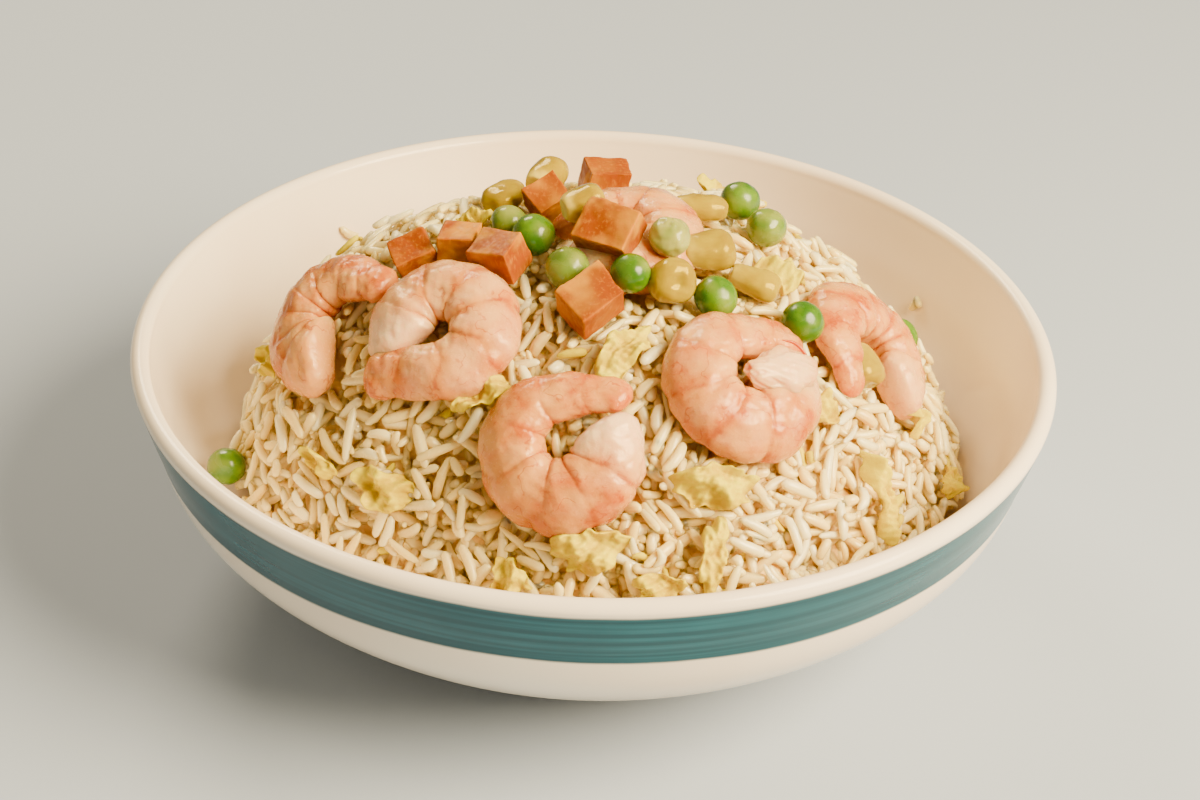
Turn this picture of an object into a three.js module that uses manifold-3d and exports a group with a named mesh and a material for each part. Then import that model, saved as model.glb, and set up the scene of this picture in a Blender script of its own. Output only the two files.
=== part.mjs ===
// A bowl of shrimp fried rice: a painted earthenware bowl, a heap of rice, six curled shrimps,
// diced carrot, sweetcorn, green peas and scrambled egg.
// Millimetres, +Z up. The origin is the centre of the bowl's foot, on the table.

import * as THREE from 'three';
import { mergeVertices } from 'three/addons/utils/BufferGeometryUtils.js';
import Module from 'manifold-3d';

const wasm = await Module();
wasm.setup();

// ---------------------------------------------------------------- driving dimensions

const GAP = 0.35; // clearance between pieces that touch
const DEGREE = Math.PI / 180;

// Bowl. Outlines are [radius, depth below the plane of the rim's centre].
const RIM_PLANE = 63.7;
const RIM_RADIUS = 110;
const RIM_ROUND = 2.3;
const RIM_STEPS = 4;
const OUTSIDE = [[RIM_RADIUS, 0], [106.4, 12], [100.7, 27], [84, 43], [62, 57.6], [47.5, 62]];
const INSIDE = [
  [RIM_RADIUS - 2 * RIM_ROUND, 0], [101.9, 12], [96, 26], [80, 40.5], [58, 52.3], [28, 56.6], [0, 57],
];
const OUTSIDE_STEPS = 7;
const INSIDE_STEPS = 7;
const FOOT = { outer: 46.5, inner: 42, recess: 2.4 };
const BOWL_SIDES = 40;

// Heap of rice: a leaning dome whose plan has a few shallow lobes.
const MOUND = {
  foot: RIM_PLANE - 40,
  rise: 69.2,
  radius: 83.7,
  shoulder: 3.4,
  crown: 1.2,
  centre: [10, -11],
  lean: [-12, 8],
  lobes: [{ count: 2, cosine: 0.09, sine: 0.021 }, { count: 3, cosine: -0.07, sine: 0.035 }],
  below: 40,
};
const CORE_DETAIL = 12;
const CORE_DEPTH = { least: 0.4, most: 2.2 }; // of the bare core below the heap's surface

// Rice grains fused to the heap.
const GRAIN = { length: 7.8, spread: 1.2, radius: 1.2, sides: 4, count: 138, lift: -0.5, tilt: 24 };
const EGG_CRUMB = { every: 17, length: 9, radius: 2.1 };
const SEEDS = { core: 5, grains: 41, egg: 11 };

// Shrimps lie on their sides. x and y are on the heap, lift is from its surface, tilt raises the
// far side of the curl, head, where the curl starts, and sweep are in its plane, in degrees, and
// side is 1 for a clockwise curl and -1 for the other. taper is how much the tail thins, and
// flap how far the head end spreads into the curl.
const SHRIMP = {
  ring: 10.6, outer: 8.5, inner: 8.2, thick: 5.5, sag: 55, taper: 0.45, flap: 0,
  stations: 12, endEase: 0.07, sides: 8,
};
const SHRIMPS = [
  { x: -59, y: -21.5, lift: 2.8, tilt: 0, head: -95, sweep: 200, arm: 12, side: 1, size: 1, flap: 0.5 },
  { x: -33.8, y: -35.4, lift: 4, tilt: 0, head: 207, sweep: 299, arm: 18, side: 1, size: 0.95, flap: 0.25 },
  { x: -6, y: -61.5, lift: 3.8, tilt: 0, head: 35, sweep: 296, arm: 17, side: 1, size: 1, taper: 0.52 },
  { x: 32.6, y: -46.2, lift: 4, tilt: 0, head: 40, sweep: 295, arm: 18, side: 1, size: 1, flap: 0.65 },
  { x: 62.6, y: -16, lift: 3, tilt: 0, head: -42, sweep: 243, arm: 14, side: -1, size: 1.02, taper: 0.62 },
  { x: 6, y: -8, lift: 5.5, tilt: 8, head: 205, sweep: 285, arm: 12, side: -1, size: 0.98 },
];

// Toppings: x and y on the heap, lift of the centre from its bare surface, turn about the
// surface's normal, then tip about the piece's own long axis and pitch across it, in degrees.
const PEAS = [
  { x: -21, y: -3, lift: 3.6, radius: 4.3 },
  { x: -14.8, y: -11, lift: 5, radius: 5.1 },
  { x: -6.7, y: -23.5, lift: 4.2, radius: 5.1 },
  { x: 7.2, y: -27.4, lift: 6.4, radius: 4.7 },
  { x: 15.2, y: -18, lift: 10.4, radius: 4.8 },
  { x: 32.7, y: 18.2, lift: 3.6, radius: 4.9 },
  { x: 38.5, y: 7.4, lift: 3.4, radius: 4.8 },
  { x: 25.8, y: -28.2, lift: 4, radius: 5 },
  { x: 43.9, y: -27.5, lift: 6, radius: 5 },
  { x: 70.5, y: -0.5, lift: 2.6, radius: 4.8 },
];
const WALL_PEA = { x: -86, y: -24.6, height: 39.6, radius: 4.6 };

const CARROTS = [
  { x: -42, y: -10.8, lift: 2.6, turn: 24, tip: 16, pitch: 6, size: [9.5, 8, 5.8] },
  { x: -31.8, y: -11.3, lift: 3.2, turn: -12, tip: 0, pitch: -8, size: [8.5, 8, 7.5] },
  { x: -22.2, y: -19, lift: 4.8, turn: -28, tip: 12, pitch: 8, size: [11, 9, 8.5] },
  { x: -12.3, y: 7.3, lift: 4.4, turn: 30, tip: 25, pitch: 20, size: [9, 8, 8] },
  { x: 1.1, y: 20.5, lift: 3.6, turn: 14, tip: 8, pitch: -6, size: [10.5, 8.5, 8.5] },
  { x: 2.4, y: -18, lift: 11, turn: -28, tip: 30, pitch: 6, size: [13, 10.5, 7.5] },
  { x: -1, y: -34, lift: 4, turn: 40, tip: 8, pitch: 6, size: [12.5, 11, 7] },
];
const DICE_CHAMFER = 0.7;

// A kernel's size is its length, width and thickness. Its profile is [share of the half width,
// share of the length], from the cut end to the crown.
const CORN = {
  sides: 8,
  profile: [[0, -0.5], [0.56, -0.5], [0.88, -0.1], [1, 0.2], [0.76, 0.43], [0, 0.5]],
};
const KERNELS = [
  { x: -22.6, y: 12, lift: 3, turn: 240, tip: 0, pitch: -10, size: [11, 9, 7] },
  { x: -13, y: 19, lift: 5.5, turn: 60, tip: 10, pitch: 10, size: [11, 8.4, 8] },
  { x: -3.9, y: -7.4, lift: 11, turn: 25, tip: 0, pitch: 5, size: [10, 8.6, 8.6] },
  { x: 23.6, y: 10.9, lift: 3.1, turn: 4, tip: 0, pitch: 0, size: [12.4, 7.2, 6.2] },
  { x: 24.2, y: -13.2, lift: 5.2, turn: 18, tip: 0, pitch: 4, size: [12.6, 10, 8.4] },
  { x: 35.2, y: -16.4, lift: 2.2, turn: -8, tip: 0, pitch: 0, size: [12, 8, 6.4] },
  { x: 16, y: -26.3, lift: 4.6, turn: -75, tip: 0, pitch: 35, size: [11, 11.2, 10] },
  { x: 60.5, y: -22.5, lift: 2, turn: -60, tip: 0, pitch: 0, size: [10.5, 10, 7.6] },
];

const EGG = { thick: 2.2, along: 5, across: 2 };
const EGGS = [
  { x: -45.3, y: -54.8, lift: 1.4, turn: -10, length: 15, width: 9, fold: 2.2, ripple: 1.1 },
  { x: -60.8, y: -44.2, lift: 1.2, turn: -25, length: 10, width: 5, fold: 0.8, ripple: 0.7 },
  { x: 0.9, y: -75, lift: 1.6, turn: 25, length: 16, width: 10, fold: 2.6, ripple: 1.3 },
  { x: -16.1, y: -74, lift: 1.4, turn: -30, length: 10, width: 8, fold: 1.6, ripple: 1 },
  { x: -24.5, y: -48.5, lift: 1.2, turn: 15, length: 13, width: 9, fold: 1.6, ripple: 1.2 },
  { x: 6.1, y: -46, lift: 1.6, turn: 60, length: 17, width: 9, fold: 2.4, ripple: 1.5 },
  { x: 27, y: -66.5, lift: 1.8, turn: 12, length: 18, width: 10, fold: 2.6, ripple: 1.4 },
  { x: 27.1, y: -75.6, lift: 1.4, turn: 80, length: 15, width: 7, fold: 2, ripple: 1 },
  { x: 16, y: -80, lift: 1.2, turn: 10, length: 12, width: 6, fold: 1.2, ripple: 0.8 },
  { x: 64.6, y: -49.5, lift: 1.6, turn: -60, length: 21, width: 6, fold: 4, ripple: 0.8 },
  { x: 51.3, y: -41.7, lift: 1.3, turn: 20, length: 10, width: 7, fold: 1.4, ripple: 1 },
  { x: 41.5, y: -10, lift: 1.6, turn: 40, length: 15, width: 10, fold: 1.8, ripple: 1.5 },
  { x: 73.2, y: -20.1, lift: 1.3, turn: -30, length: 12, width: 6, fold: 1.4, ripple: 1 },
  { x: 84.6, y: -22.3, lift: 1.3, turn: 70, length: 9, width: 7, fold: 1.2, ripple: 0.8 },
  { x: -75.5, y: -12.9, lift: 1.2, turn: 80, length: 9, width: 6, fold: 1, ripple: 0.8 },
  { x: -28.5, y: 3, lift: 1.3, turn: 20, length: 11, width: 6, fold: 1.2, ripple: 1 },
  { x: 30, y: 44, lift: 1.3, turn: 35, length: 14, width: 8, fold: 1.8, ripple: 1.2 },
  { x: -30, y: 40, lift: 1.3, turn: -40, length: 12, width: 8, fold: 1.6, ripple: 1.1 },
];

const COLOURS = {
  bowl: { color: 0xf3e4d0, roughness: 0.18 },
  rice: { color: 0xe6cda3, roughness: 0.45 },
  shrimp: { color: 0xe8a888, roughness: 0.3 },
  pea: { color: 0x6f9a20, roughness: 0.25 },
  carrot: { color: 0xe27a33, roughness: 0.35 },
  corn: { color: 0xe9ba3c, roughness: 0.28 },
  egg: { color: 0xe8c552, roughness: 0.4 },
};

// ---------------------------------------------------------------- helpers

function seededRandom(seed) {
  // Small repeatable generator of numbers from 0 to 1.
  let state = seed;
  return () => {
    state = (state * 1664525 + 1013904223) % 4294967296;
    return state / 4294967296;
  };
}

function closedGeometry(positions, triangles) {
  const geometry = new THREE.BufferGeometry();
  geometry.setAttribute('position', new THREE.Float32BufferAttribute(positions, 3));
  geometry.setIndex(triangles);
  return geometry;
}

function loft(rings, start, end) {
  // A closed skin over rings of points, drawn to a point at each end.
  const sides = rings[0].length;
  const positions = [...start, ...rings.flat(2), ...end];
  const last = rings.length * sides + 1;
  const triangles = [];
  for (let side = 0; side < sides; side += 1) {
    const next = (side + 1) % sides;
    triangles.push(0, 1 + next, 1 + side);
    for (let ring = 0; ring < rings.length - 1; ring += 1) {
      const near = 1 + ring * sides;
      const far = near + sides;
      triangles.push(near + side, near + next, far + next);
      triangles.push(near + side, far + next, far + side);
    }
    triangles.push(last, last - sides + side, last - sides + next);
  }
  return closedGeometry(positions, triangles);
}

function welded(geometry) {
  // The same skin with shared corners and no collapsed triangles.
  const bare = geometry.clone();
  bare.deleteAttribute('normal');
  bare.deleteAttribute('uv');
  const merged = mergeVertices(bare, 1e-4);
  const index = merged.index.array;
  const kept = [];
  for (let i = 0; i < index.length; i += 3) {
    const [a, b, c] = [index[i], index[i + 1], index[i + 2]];
    if (a !== b && b !== c && c !== a) kept.push(a, b, c);
  }
  return closedGeometry(Array.from(merged.attributes.position.array), kept);
}

function solidOf(geometry) {
  const skin = welded(geometry);
  return new wasm.Manifold(new wasm.Mesh({
    numProp: 3,
    vertProperties: new Float32Array(skin.attributes.position.array),
    triVerts: new Uint32Array(skin.index.array),
  }));
}

function geometryOf(solid) {
  const mesh = solid.getMesh();
  return closedGeometry(Array.from(mesh.vertProperties), Array.from(mesh.triVerts));
}

function largestPiece(solid) {
  const pieces = solid.decompose();
  return pieces.reduce((best, piece) => (piece.volume() > best.volume() ? piece : best));
}

function placedGeometry(mesh) {
  mesh.updateMatrixWorld(true);
  return welded(mesh.geometry.clone().applyMatrix4(mesh.matrixWorld));
}

function grown(geometry, gap) {
  // Every corner moves out until each face round it stands off by the gap.
  const skin = welded(geometry);
  const place = skin.attributes.position;
  const index = skin.index.array;
  const faces = Array.from({ length: place.count }, () => []);
  const [a, b, c] = [new THREE.Vector3(), new THREE.Vector3(), new THREE.Vector3()];
  for (let i = 0; i < index.length; i += 3) {
    a.fromBufferAttribute(place, index[i]);
    b.fromBufferAttribute(place, index[i + 1]).sub(a);
    c.fromBufferAttribute(place, index[i + 2]).sub(a);
    const normal = b.clone().cross(c).normalize();
    for (let corner = 0; corner < 3; corner += 1) faces[index[i + corner]].push(normal);
  }
  faces.forEach((normals, vertex) => {
    const out = normals.reduce((sum, normal) => sum.add(normal), new THREE.Vector3()).normalize();
    const least = Math.min(...normals.map((normal) => normal.dot(out)));
    a.fromBufferAttribute(place, vertex).addScaledVector(out, gap / Math.max(least, 0.5));
    place.setXYZ(vertex, a.x, a.y, a.z);
  });
  return skin;
}

// ---------------------------------------------------------------- the heap's surface

function moundRadius(angle) {
  const { radius, lobes } = MOUND;
  return lobes.reduce((reach, { count, cosine, sine }) => (
    reach + radius * (cosine * Math.cos(count * angle) + sine * Math.sin(count * angle))
  ), radius);
}

function moundHeight(x, y) {
  // The dome's share of its rise is found by halving steps, as its centre leans with height.
  const { foot, rise, shoulder, crown, centre, lean } = MOUND;
  let share = 0;
  for (let pass = 0; pass < 14; pass += 1) {
    const dx = x - centre[0] - lean[0] * share;
    const dy = y - centre[1] - lean[1] * share;
    const reach = Math.hypot(dx, dy) / moundRadius(Math.atan2(dy, dx));
    share = (share + Math.max(0, 1 - reach ** shoulder) ** (1 / crown)) / 2;
  }
  return foot + rise * share;
}

function moundFrame(x, y) {
  // Point on the heap with its normal, the direction to the right along it, and the one away.
  const step = 0.5;
  const slopeX = (moundHeight(x + step, y) - moundHeight(x - step, y)) / (2 * step);
  const slopeY = (moundHeight(x, y + step) - moundHeight(x, y - step)) / (2 * step);
  const normal = new THREE.Vector3(-slopeX, -slopeY, 1).normalize();
  const right = new THREE.Vector3(1, 0, 0).addScaledVector(normal, -normal.x).normalize();
  const away = normal.clone().cross(right);
  return { point: new THREE.Vector3(x, y, moundHeight(x, y)), normal, right, away };
}

function domePoint(direction) {
  // Where a ray from the middle of the heap's foot meets the dome, or the bulge below it.
  const { foot, rise, shoulder, crown, centre, lean, below } = MOUND;
  const angle = Math.atan2(direction.y, direction.x);
  const flat = Math.hypot(direction.x, direction.y) / moundRadius(angle);
  const up = direction.z / (direction.z > 0 ? rise : below);
  let near = 0;
  let far = 4 * MOUND.radius;
  for (let pass = 0; pass < 40; pass += 1) {
    const middle = (near + far) / 2;
    const inside = (middle * flat) ** shoulder + (middle * Math.abs(up)) ** crown < 1;
    if (inside) near = middle;
    else far = middle;
  }
  const share = Math.max(0, near * up);
  return new THREE.Vector3(
    centre[0] + lean[0] * share + near * direction.x,
    centre[1] + lean[1] * share + near * direction.y,
    foot + near * direction.z,
  );
}

// ---------------------------------------------------------------- bowl

function outline(points, steps) {
  const curve = new THREE.SplineCurve(points.map(([radius, depth]) => (
    new THREE.Vector2(radius, RIM_PLANE - depth)
  )));
  return curve.getPoints(steps);
}

function bowlGeometry() {
  const underside = [
    new THREE.Vector2(0, FOOT.recess),
    new THREE.Vector2(FOOT.inner - FOOT.recess, FOOT.recess),
    new THREE.Vector2(FOOT.inner, 0),
    new THREE.Vector2(FOOT.outer, 0),
  ];
  const rim = [];
  for (let step = 1; step < RIM_STEPS; step += 1) {
    const angle = Math.PI * step / RIM_STEPS;
    rim.push(new THREE.Vector2(
      RIM_RADIUS - RIM_ROUND + RIM_ROUND * Math.cos(angle),
      RIM_PLANE + RIM_ROUND * Math.sin(angle),
    ));
  }
  const profile = [
    ...underside,
    ...outline(OUTSIDE, OUTSIDE_STEPS).reverse(),
    ...rim,
    ...outline(INSIDE, INSIDE_STEPS),
  ];
  return new THREE.LatheGeometry(profile, BOWL_SIDES).rotateX(Math.PI / 2);
}

function cavityGeometry() {
  // The room inside the bowl, clear of its wall, with a lid well above the heap.
  const wall = outline(INSIDE, INSIDE_STEPS).reverse();
  const profile = wall.map((point, i) => {
    const before = wall[Math.max(0, i - 1)];
    const after = wall[Math.min(wall.length - 1, i + 1)];
    const along = after.clone().sub(before).normalize();
    return new THREE.Vector2(Math.max(0, point.x - along.y * GAP), point.y + along.x * GAP);
  });
  const top = RIM_PLANE + MOUND.rise;
  profile[0].x = 0;
  profile.push(new THREE.Vector2(profile[profile.length - 1].x, top), new THREE.Vector2(0, top));
  return new THREE.LatheGeometry(profile, BOWL_SIDES).rotateX(Math.PI / 2);
}

// ---------------------------------------------------------------- toppings

function shrimpSpine({ head, sweep, arm, side, size }) {
  // Stations along the curl: an arc from the head end, then a nearly straight tail arm. They
  // crowd towards both ends, which are round.
  const ring = SHRIMP.ring * size;
  const arc = ring * sweep * DEGREE;
  const length = arc + arm;
  const pace = length / 200;
  const stations = [];
  let heading = (head - side * 90) * DEGREE;
  let u = ring * Math.cos(head * DEGREE);
  let v = ring * Math.sin(head * DEGREE);
  for (let step = 0; step <= 200; step += 1) {
    const travelled = step * pace;
    const due = stations.length / SHRIMP.stations;
    if (travelled / length >= due - SHRIMP.endEase * Math.sin(2 * Math.PI * due) - 1e-6) {
      stations.push({ u, v, heading, share: travelled / length });
    }
    heading -= side * pace / (travelled < arc ? ring : 12 * ring);
    u += pace * Math.cos(heading);
    v += pace * Math.sin(heading);
  }
  return stations;
}

function shrimpGirth(share, taper) {
  // Full at the front, tapering over the tail arm, with rounded ends.
  const tail = 1 - taper * THREE.MathUtils.smoothstep(share, 0.5, 1);
  const front = 0.86 + 0.14 * THREE.MathUtils.smoothstep(share, 0, 0.2);
  const roundEnd = (distance) => Math.sqrt(Math.max(0, 1 - Math.max(0, 1 - distance) ** 2));
  return tail * front * roundEnd(share / 0.05) * roundEnd((1 - share) / 0.06);
}

function shrimpGeometry(shrimp) {
  const { point, normal, right, away } = moundFrame(shrimp.x, shrimp.y);
  const centre = point.clone().addScaledVector(normal, shrimp.lift);
  away.applyAxisAngle(right, shrimp.tilt * DEGREE);
  normal.applyAxisAngle(right, shrimp.tilt * DEGREE);
  const lay = (u, v, w) => centre.clone()
    .addScaledVector(right, u)
    .addScaledVector(away, v)
    .addScaledVector(normal, w - (u * u + v * v) / (2 * SHRIMP.sag))
    .toArray();
  const { taper, flap } = { ...SHRIMP, ...shrimp };
  const rings = [];
  const stations = shrimpSpine(shrimp);
  for (const { u, v, heading, share } of stations) {
    const girth = shrimp.size * shrimpGirth(share, taper);
    const inner = SHRIMP.inner * (1 + flap * (1 - THREE.MathUtils.smoothstep(share, 0.05, 0.35)));
    if (girth > 0.2) {
      const outU = -shrimp.side * Math.sin(heading);
      const outV = shrimp.side * Math.cos(heading);
      const ring = [];
      for (let side = 0; side < SHRIMP.sides; side += 1) {
        const angle = 2 * Math.PI * side / SHRIMP.sides;
        const reach = Math.cos(angle) * girth * (Math.cos(angle) > 0 ? SHRIMP.outer : inner);
        ring.push(lay(u + outU * reach, v + outV * reach, Math.sin(angle) * girth * SHRIMP.thick));
      }
      rings.push(shrimp.side > 0 ? ring : ring.reverse());
    }
  }
  const first = stations[0];
  const last = stations[stations.length - 1];
  return loft(rings, lay(first.u, first.v, 0), lay(last.u, last.v, 0));
}

function peaGeometry(radius) {
  return new THREE.IcosahedronGeometry(radius, 1).scale(1, 1, 0.94);
}

function diceGeometry([length, width, height]) {
  const [x, y, cut] = [length / 2 - DICE_CHAMFER, width / 2 - DICE_CHAMFER, DICE_CHAMFER];
  const face = new THREE.Shape([
    new THREE.Vector2(x, -y + cut), new THREE.Vector2(x, y - cut),
    new THREE.Vector2(x - cut, y), new THREE.Vector2(-x + cut, y),
    new THREE.Vector2(-x, y - cut), new THREE.Vector2(-x, -y + cut),
    new THREE.Vector2(-x + cut, -y), new THREE.Vector2(x - cut, -y),
  ]);
  const geometry = new THREE.ExtrudeGeometry(face, {
    depth: height - 2 * cut,
    bevelThickness: cut,
    bevelSize: cut,
    bevelSegments: 1,
  });
  return geometry.translate(0, 0, cut - height / 2);
}

function kernelGeometry([length, width, thick]) {
  // A blunt wedge with a rounded crown at +x and a flat cut end at -x.
  const points = CORN.profile.map(([radius, along]) => new THREE.Vector2(radius, along * length));
  return new THREE.LatheGeometry(points, CORN.sides)
    .scale(width / 2, 1, thick / 2)
    .rotateZ(-Math.PI / 2);
}

function eggGeometry({ length, width, fold, ripple }, seed) {
  // A torn flake: a thin sheet arched along its length and rippled, with both faces split alike.
  const random = seededRandom(seed);
  const phase = random() * 6;
  const { along, across, thick } = EGG;
  const positions = [];
  for (const face of [0.5, -0.5]) {
    for (let i = 0; i <= along; i += 1) {
      for (let j = 0; j <= across; j += 1) {
        const s = 2 * i / along - 1;
        const t = 2 * j / across - 1;
        const narrow = Math.sqrt(1 - 0.72 * s * s) * (0.86 + 0.14 * Math.sin(5 * s + phase));
        const wave = ripple * Math.sin(4.4 * s + 2.2 * t + phase) - fold * s * s;
        const edge = Math.max(Math.abs(s), Math.abs(t)) === 1 ? 0.55 : 1;
        positions.push(s * length / 2, t * narrow * width / 2, wave + fold / 2 + face * thick * edge);
      }
    }
  }
  const row = across + 1;
  const sheet = (along + 1) * row;
  const triangles = [];
  const quad = (a, b, c, d) => triangles.push(a, b, c, a, c, d);
  for (let i = 0; i < along; i += 1) {
    for (let j = 0; j < across; j += 1) {
      const a = i * row + j;
      quad(a, a + row, a + row + 1, a + 1);
      triangles.push(sheet + a, sheet + a + row + 1, sheet + a + row);
      triangles.push(sheet + a, sheet + a + 1, sheet + a + row + 1);
    }
    const left = i * row;
    const right = left + across;
    quad(left, sheet + left, sheet + left + row, left + row);
    quad(right, right + row, sheet + right + row, sheet + right);
  }
  for (let j = 0; j < across; j += 1) {
    const far = along * row + j;
    quad(j, j + 1, sheet + j + 1, sheet + j);
    quad(far, sheet + far, sheet + far + 1, far + 1);
  }
  return closedGeometry(positions, triangles);
}

// ---------------------------------------------------------------- scene graph

const food = new THREE.Group();

function addMesh(parent, name, geometry, kind) {
  const material = new THREE.MeshStandardMaterial({ metalness: 0, ...COLOURS[kind] });
  const mesh = new THREE.Mesh(geometry, material);
  mesh.name = name;
  parent.add(mesh);
  return mesh;
}

function layOnHeap(mesh, { x, y, lift, turn = 0, tip = 0, pitch = 0 }) {
  const { point, normal, right, away } = moundFrame(x, y);
  mesh.position.copy(point).addScaledVector(normal, lift);
  mesh.quaternion.setFromRotationMatrix(new THREE.Matrix4().makeBasis(right, away, normal));
  mesh.rotateZ(turn * DEGREE);
  mesh.rotateY(-pitch * DEGREE);
  mesh.rotateX(tip * DEGREE);
}

function addToppings() {
  const firm = new THREE.Group();
  PEAS.forEach((pea, i) => {
    layOnHeap(addMesh(firm, `pea_${i + 1}`, peaGeometry(pea.radius), 'pea'), pea);
  });
  const wallPea = addMesh(firm, `pea_${PEAS.length + 1}`, peaGeometry(WALL_PEA.radius), 'pea');
  wallPea.position.set(WALL_PEA.x, WALL_PEA.y, WALL_PEA.height);
  CARROTS.forEach((dice, i) => {
    layOnHeap(addMesh(firm, `carrot_${i + 1}`, diceGeometry(dice.size), 'carrot'), dice);
  });
  KERNELS.forEach((kernel, i) => {
    layOnHeap(addMesh(firm, `corn_${i + 1}`, kernelGeometry(kernel.size), 'corn'), kernel);
  });
  const soft = new THREE.Group();
  SHRIMPS.forEach((shrimp, i) => {
    addMesh(soft, `shrimp_${i + 1}`, shrimpGeometry(shrimp), 'shrimp');
  });
  EGGS.forEach((flake, i) => {
    layOnHeap(addMesh(soft, `egg_${i + 1}`, eggGeometry(flake, SEEDS.egg + i), 'egg'), flake);
  });
  food.add(firm, soft);
  return { firm: firm.children, soft: soft.children };
}

function dentSoftPieces({ firm, soft }) {
  // A soft piece gives way to the firm ones on it, and to the soft ones laid before it.
  const laid = firm.map((mesh) => grown(placedGeometry(mesh), GAP));
  for (const mesh of soft) {
    let solid = solidOf(placedGeometry(mesh));
    let dented = false;
    for (const neighbour of laid) {
      const other = solidOf(neighbour);
      if (!solid.intersect(other).isEmpty()) {
        solid = largestPiece(solid.subtract(other));
        dented = true;
      }
    }
    if (dented) {
      mesh.geometry = geometryOf(solid);
      mesh.position.set(0, 0, 0);
      mesh.quaternion.identity();
    }
    laid.push(grown(placedGeometry(mesh), GAP));
  }
  return laid.map(solidOf);
}

// ---------------------------------------------------------------- heap of rice

function coreGeometry() {
  const random = seededRandom(SEEDS.core);
  const core = welded(new THREE.IcosahedronGeometry(1, CORE_DETAIL));
  const place = core.attributes.position;
  const direction = new THREE.Vector3();
  for (let i = 0; i < place.count; i += 1) {
    direction.fromBufferAttribute(place, i).normalize();
    const point = domePoint(direction);
    point.addScaledVector(direction, -THREE.MathUtils.lerp(CORE_DEPTH.least, CORE_DEPTH.most, random()));
    place.setXYZ(i, point.x, point.y, point.z);
  }
  return core;
}

function grainGeometry(length, radius) {
  const rings = [-0.27, 0.27].map((along) => {
    const ring = [];
    for (let side = 0; side < GRAIN.sides; side += 1) {
      const angle = 2 * Math.PI * side / GRAIN.sides;
      ring.push([along * length, radius * Math.cos(angle), radius * Math.sin(angle)]);
    }
    return ring;
  });
  return loft(rings, [-length / 2, 0, 0], [length / 2, 0, 0]);
}

function fusedGrains(cavity, toppings) {
  // Spread by the golden angle over the dome. A grain that meets a topping or the bowl is skipped.
  const random = seededRandom(SEEDS.grains);
  const grains = [];
  for (let i = 0; i < GRAIN.count; i += 1) {
    const up = 1 - (i + 0.5) / GRAIN.count;
    const angle = i * Math.PI * (3 - Math.sqrt(5));
    const flat = Math.sqrt(1 - up * up);
    const spot = domePoint(new THREE.Vector3(flat * Math.cos(angle), flat * Math.sin(angle), up));
    const crumb = i % EGG_CRUMB.every === 0;
    const length = crumb ? EGG_CRUMB.length : GRAIN.length + GRAIN.spread * (random() - 0.5);
    const grain = new THREE.Mesh(grainGeometry(length, crumb ? EGG_CRUMB.radius : GRAIN.radius));
    layOnHeap(grain, {
      x: spot.x,
      y: spot.y,
      lift: GRAIN.lift,
      turn: 360 * random(),
      pitch: GRAIN.tilt * (random() - 0.3),
    });
    const solid = solidOf(placedGeometry(grain));
    const clear = toppings.every((topping) => solid.intersect(topping).isEmpty());
    if (clear && solid.subtract(cavity).isEmpty()) grains.push(solid);
  }
  return grains;
}

function riceGeometry(toppings) {
  const cavity = solidOf(cavityGeometry());
  const core = solidOf(coreGeometry()).intersect(cavity);
  const heap = wasm.Manifold.union([core, ...fusedGrains(cavity, toppings)]);
  const socketed = toppings.reduce((solid, topping) => solid.subtract(topping), heap);
  return geometryOf(largestPiece(socketed));
}

// ---------------------------------------------------------------- the whole part

addMesh(food, 'bowl', bowlGeometry(), 'bowl');
addMesh(food, 'rice', riceGeometry(dentSoftPieces(addToppings())), 'rice');

export default food;
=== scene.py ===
"""A bowl of shrimp fried rice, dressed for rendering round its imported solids.

Sizes are in millimetres, with +Z up and the origin at the centre of the bowl's foot. Meshes are
scaled to metres as they are made. Heap, bowl and toppings are worked out from the same driving
dimensions as the solids that they stand for.
"""

import logging
import math
from dataclasses import dataclass, field
from enum import Enum

import bpy
import numpy as np
from mathutils import Matrix, Vector


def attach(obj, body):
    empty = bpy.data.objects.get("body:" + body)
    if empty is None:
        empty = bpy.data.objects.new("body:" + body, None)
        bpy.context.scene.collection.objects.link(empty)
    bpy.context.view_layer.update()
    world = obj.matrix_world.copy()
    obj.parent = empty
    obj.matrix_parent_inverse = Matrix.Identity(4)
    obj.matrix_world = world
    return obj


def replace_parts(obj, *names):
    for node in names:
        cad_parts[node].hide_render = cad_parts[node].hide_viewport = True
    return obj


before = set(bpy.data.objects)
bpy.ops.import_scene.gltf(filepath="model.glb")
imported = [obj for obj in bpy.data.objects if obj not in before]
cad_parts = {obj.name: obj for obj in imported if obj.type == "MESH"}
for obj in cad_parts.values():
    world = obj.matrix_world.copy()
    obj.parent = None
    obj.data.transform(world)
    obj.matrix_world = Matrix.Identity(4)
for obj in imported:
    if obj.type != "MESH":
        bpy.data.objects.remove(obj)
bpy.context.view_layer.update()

LOG = logging.getLogger("fried_rice")
MM = 0.001
TAU = 2 * math.pi
BODY = "root"
Colour = tuple[float, float, float]
Socket = bpy.types.NodeSocket


# ------------------------------------------------------------------ numbers and noise


def linear(red: int, green: int, blue: int) -> tuple[float, float, float, float]:
    """Turns a screen colour of 0 to 255 a channel into linear light with full alpha."""
    channels = [c / 255 for c in (red, green, blue)]
    light = [c / 12.92 if c <= 0.04045 else ((c + 0.055) / 1.055) ** 2.4 for c in channels]
    return (light[0], light[1], light[2], 1.0)


def smoothstep(low: float, high: float, value: np.ndarray) -> np.ndarray:
    """Eases from 0 at low to 1 at high, as three t squared less two t cubed."""
    t = np.clip((value - low) / (high - low), 0, 1)
    return t * t * (3 - 2 * t)


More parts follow.
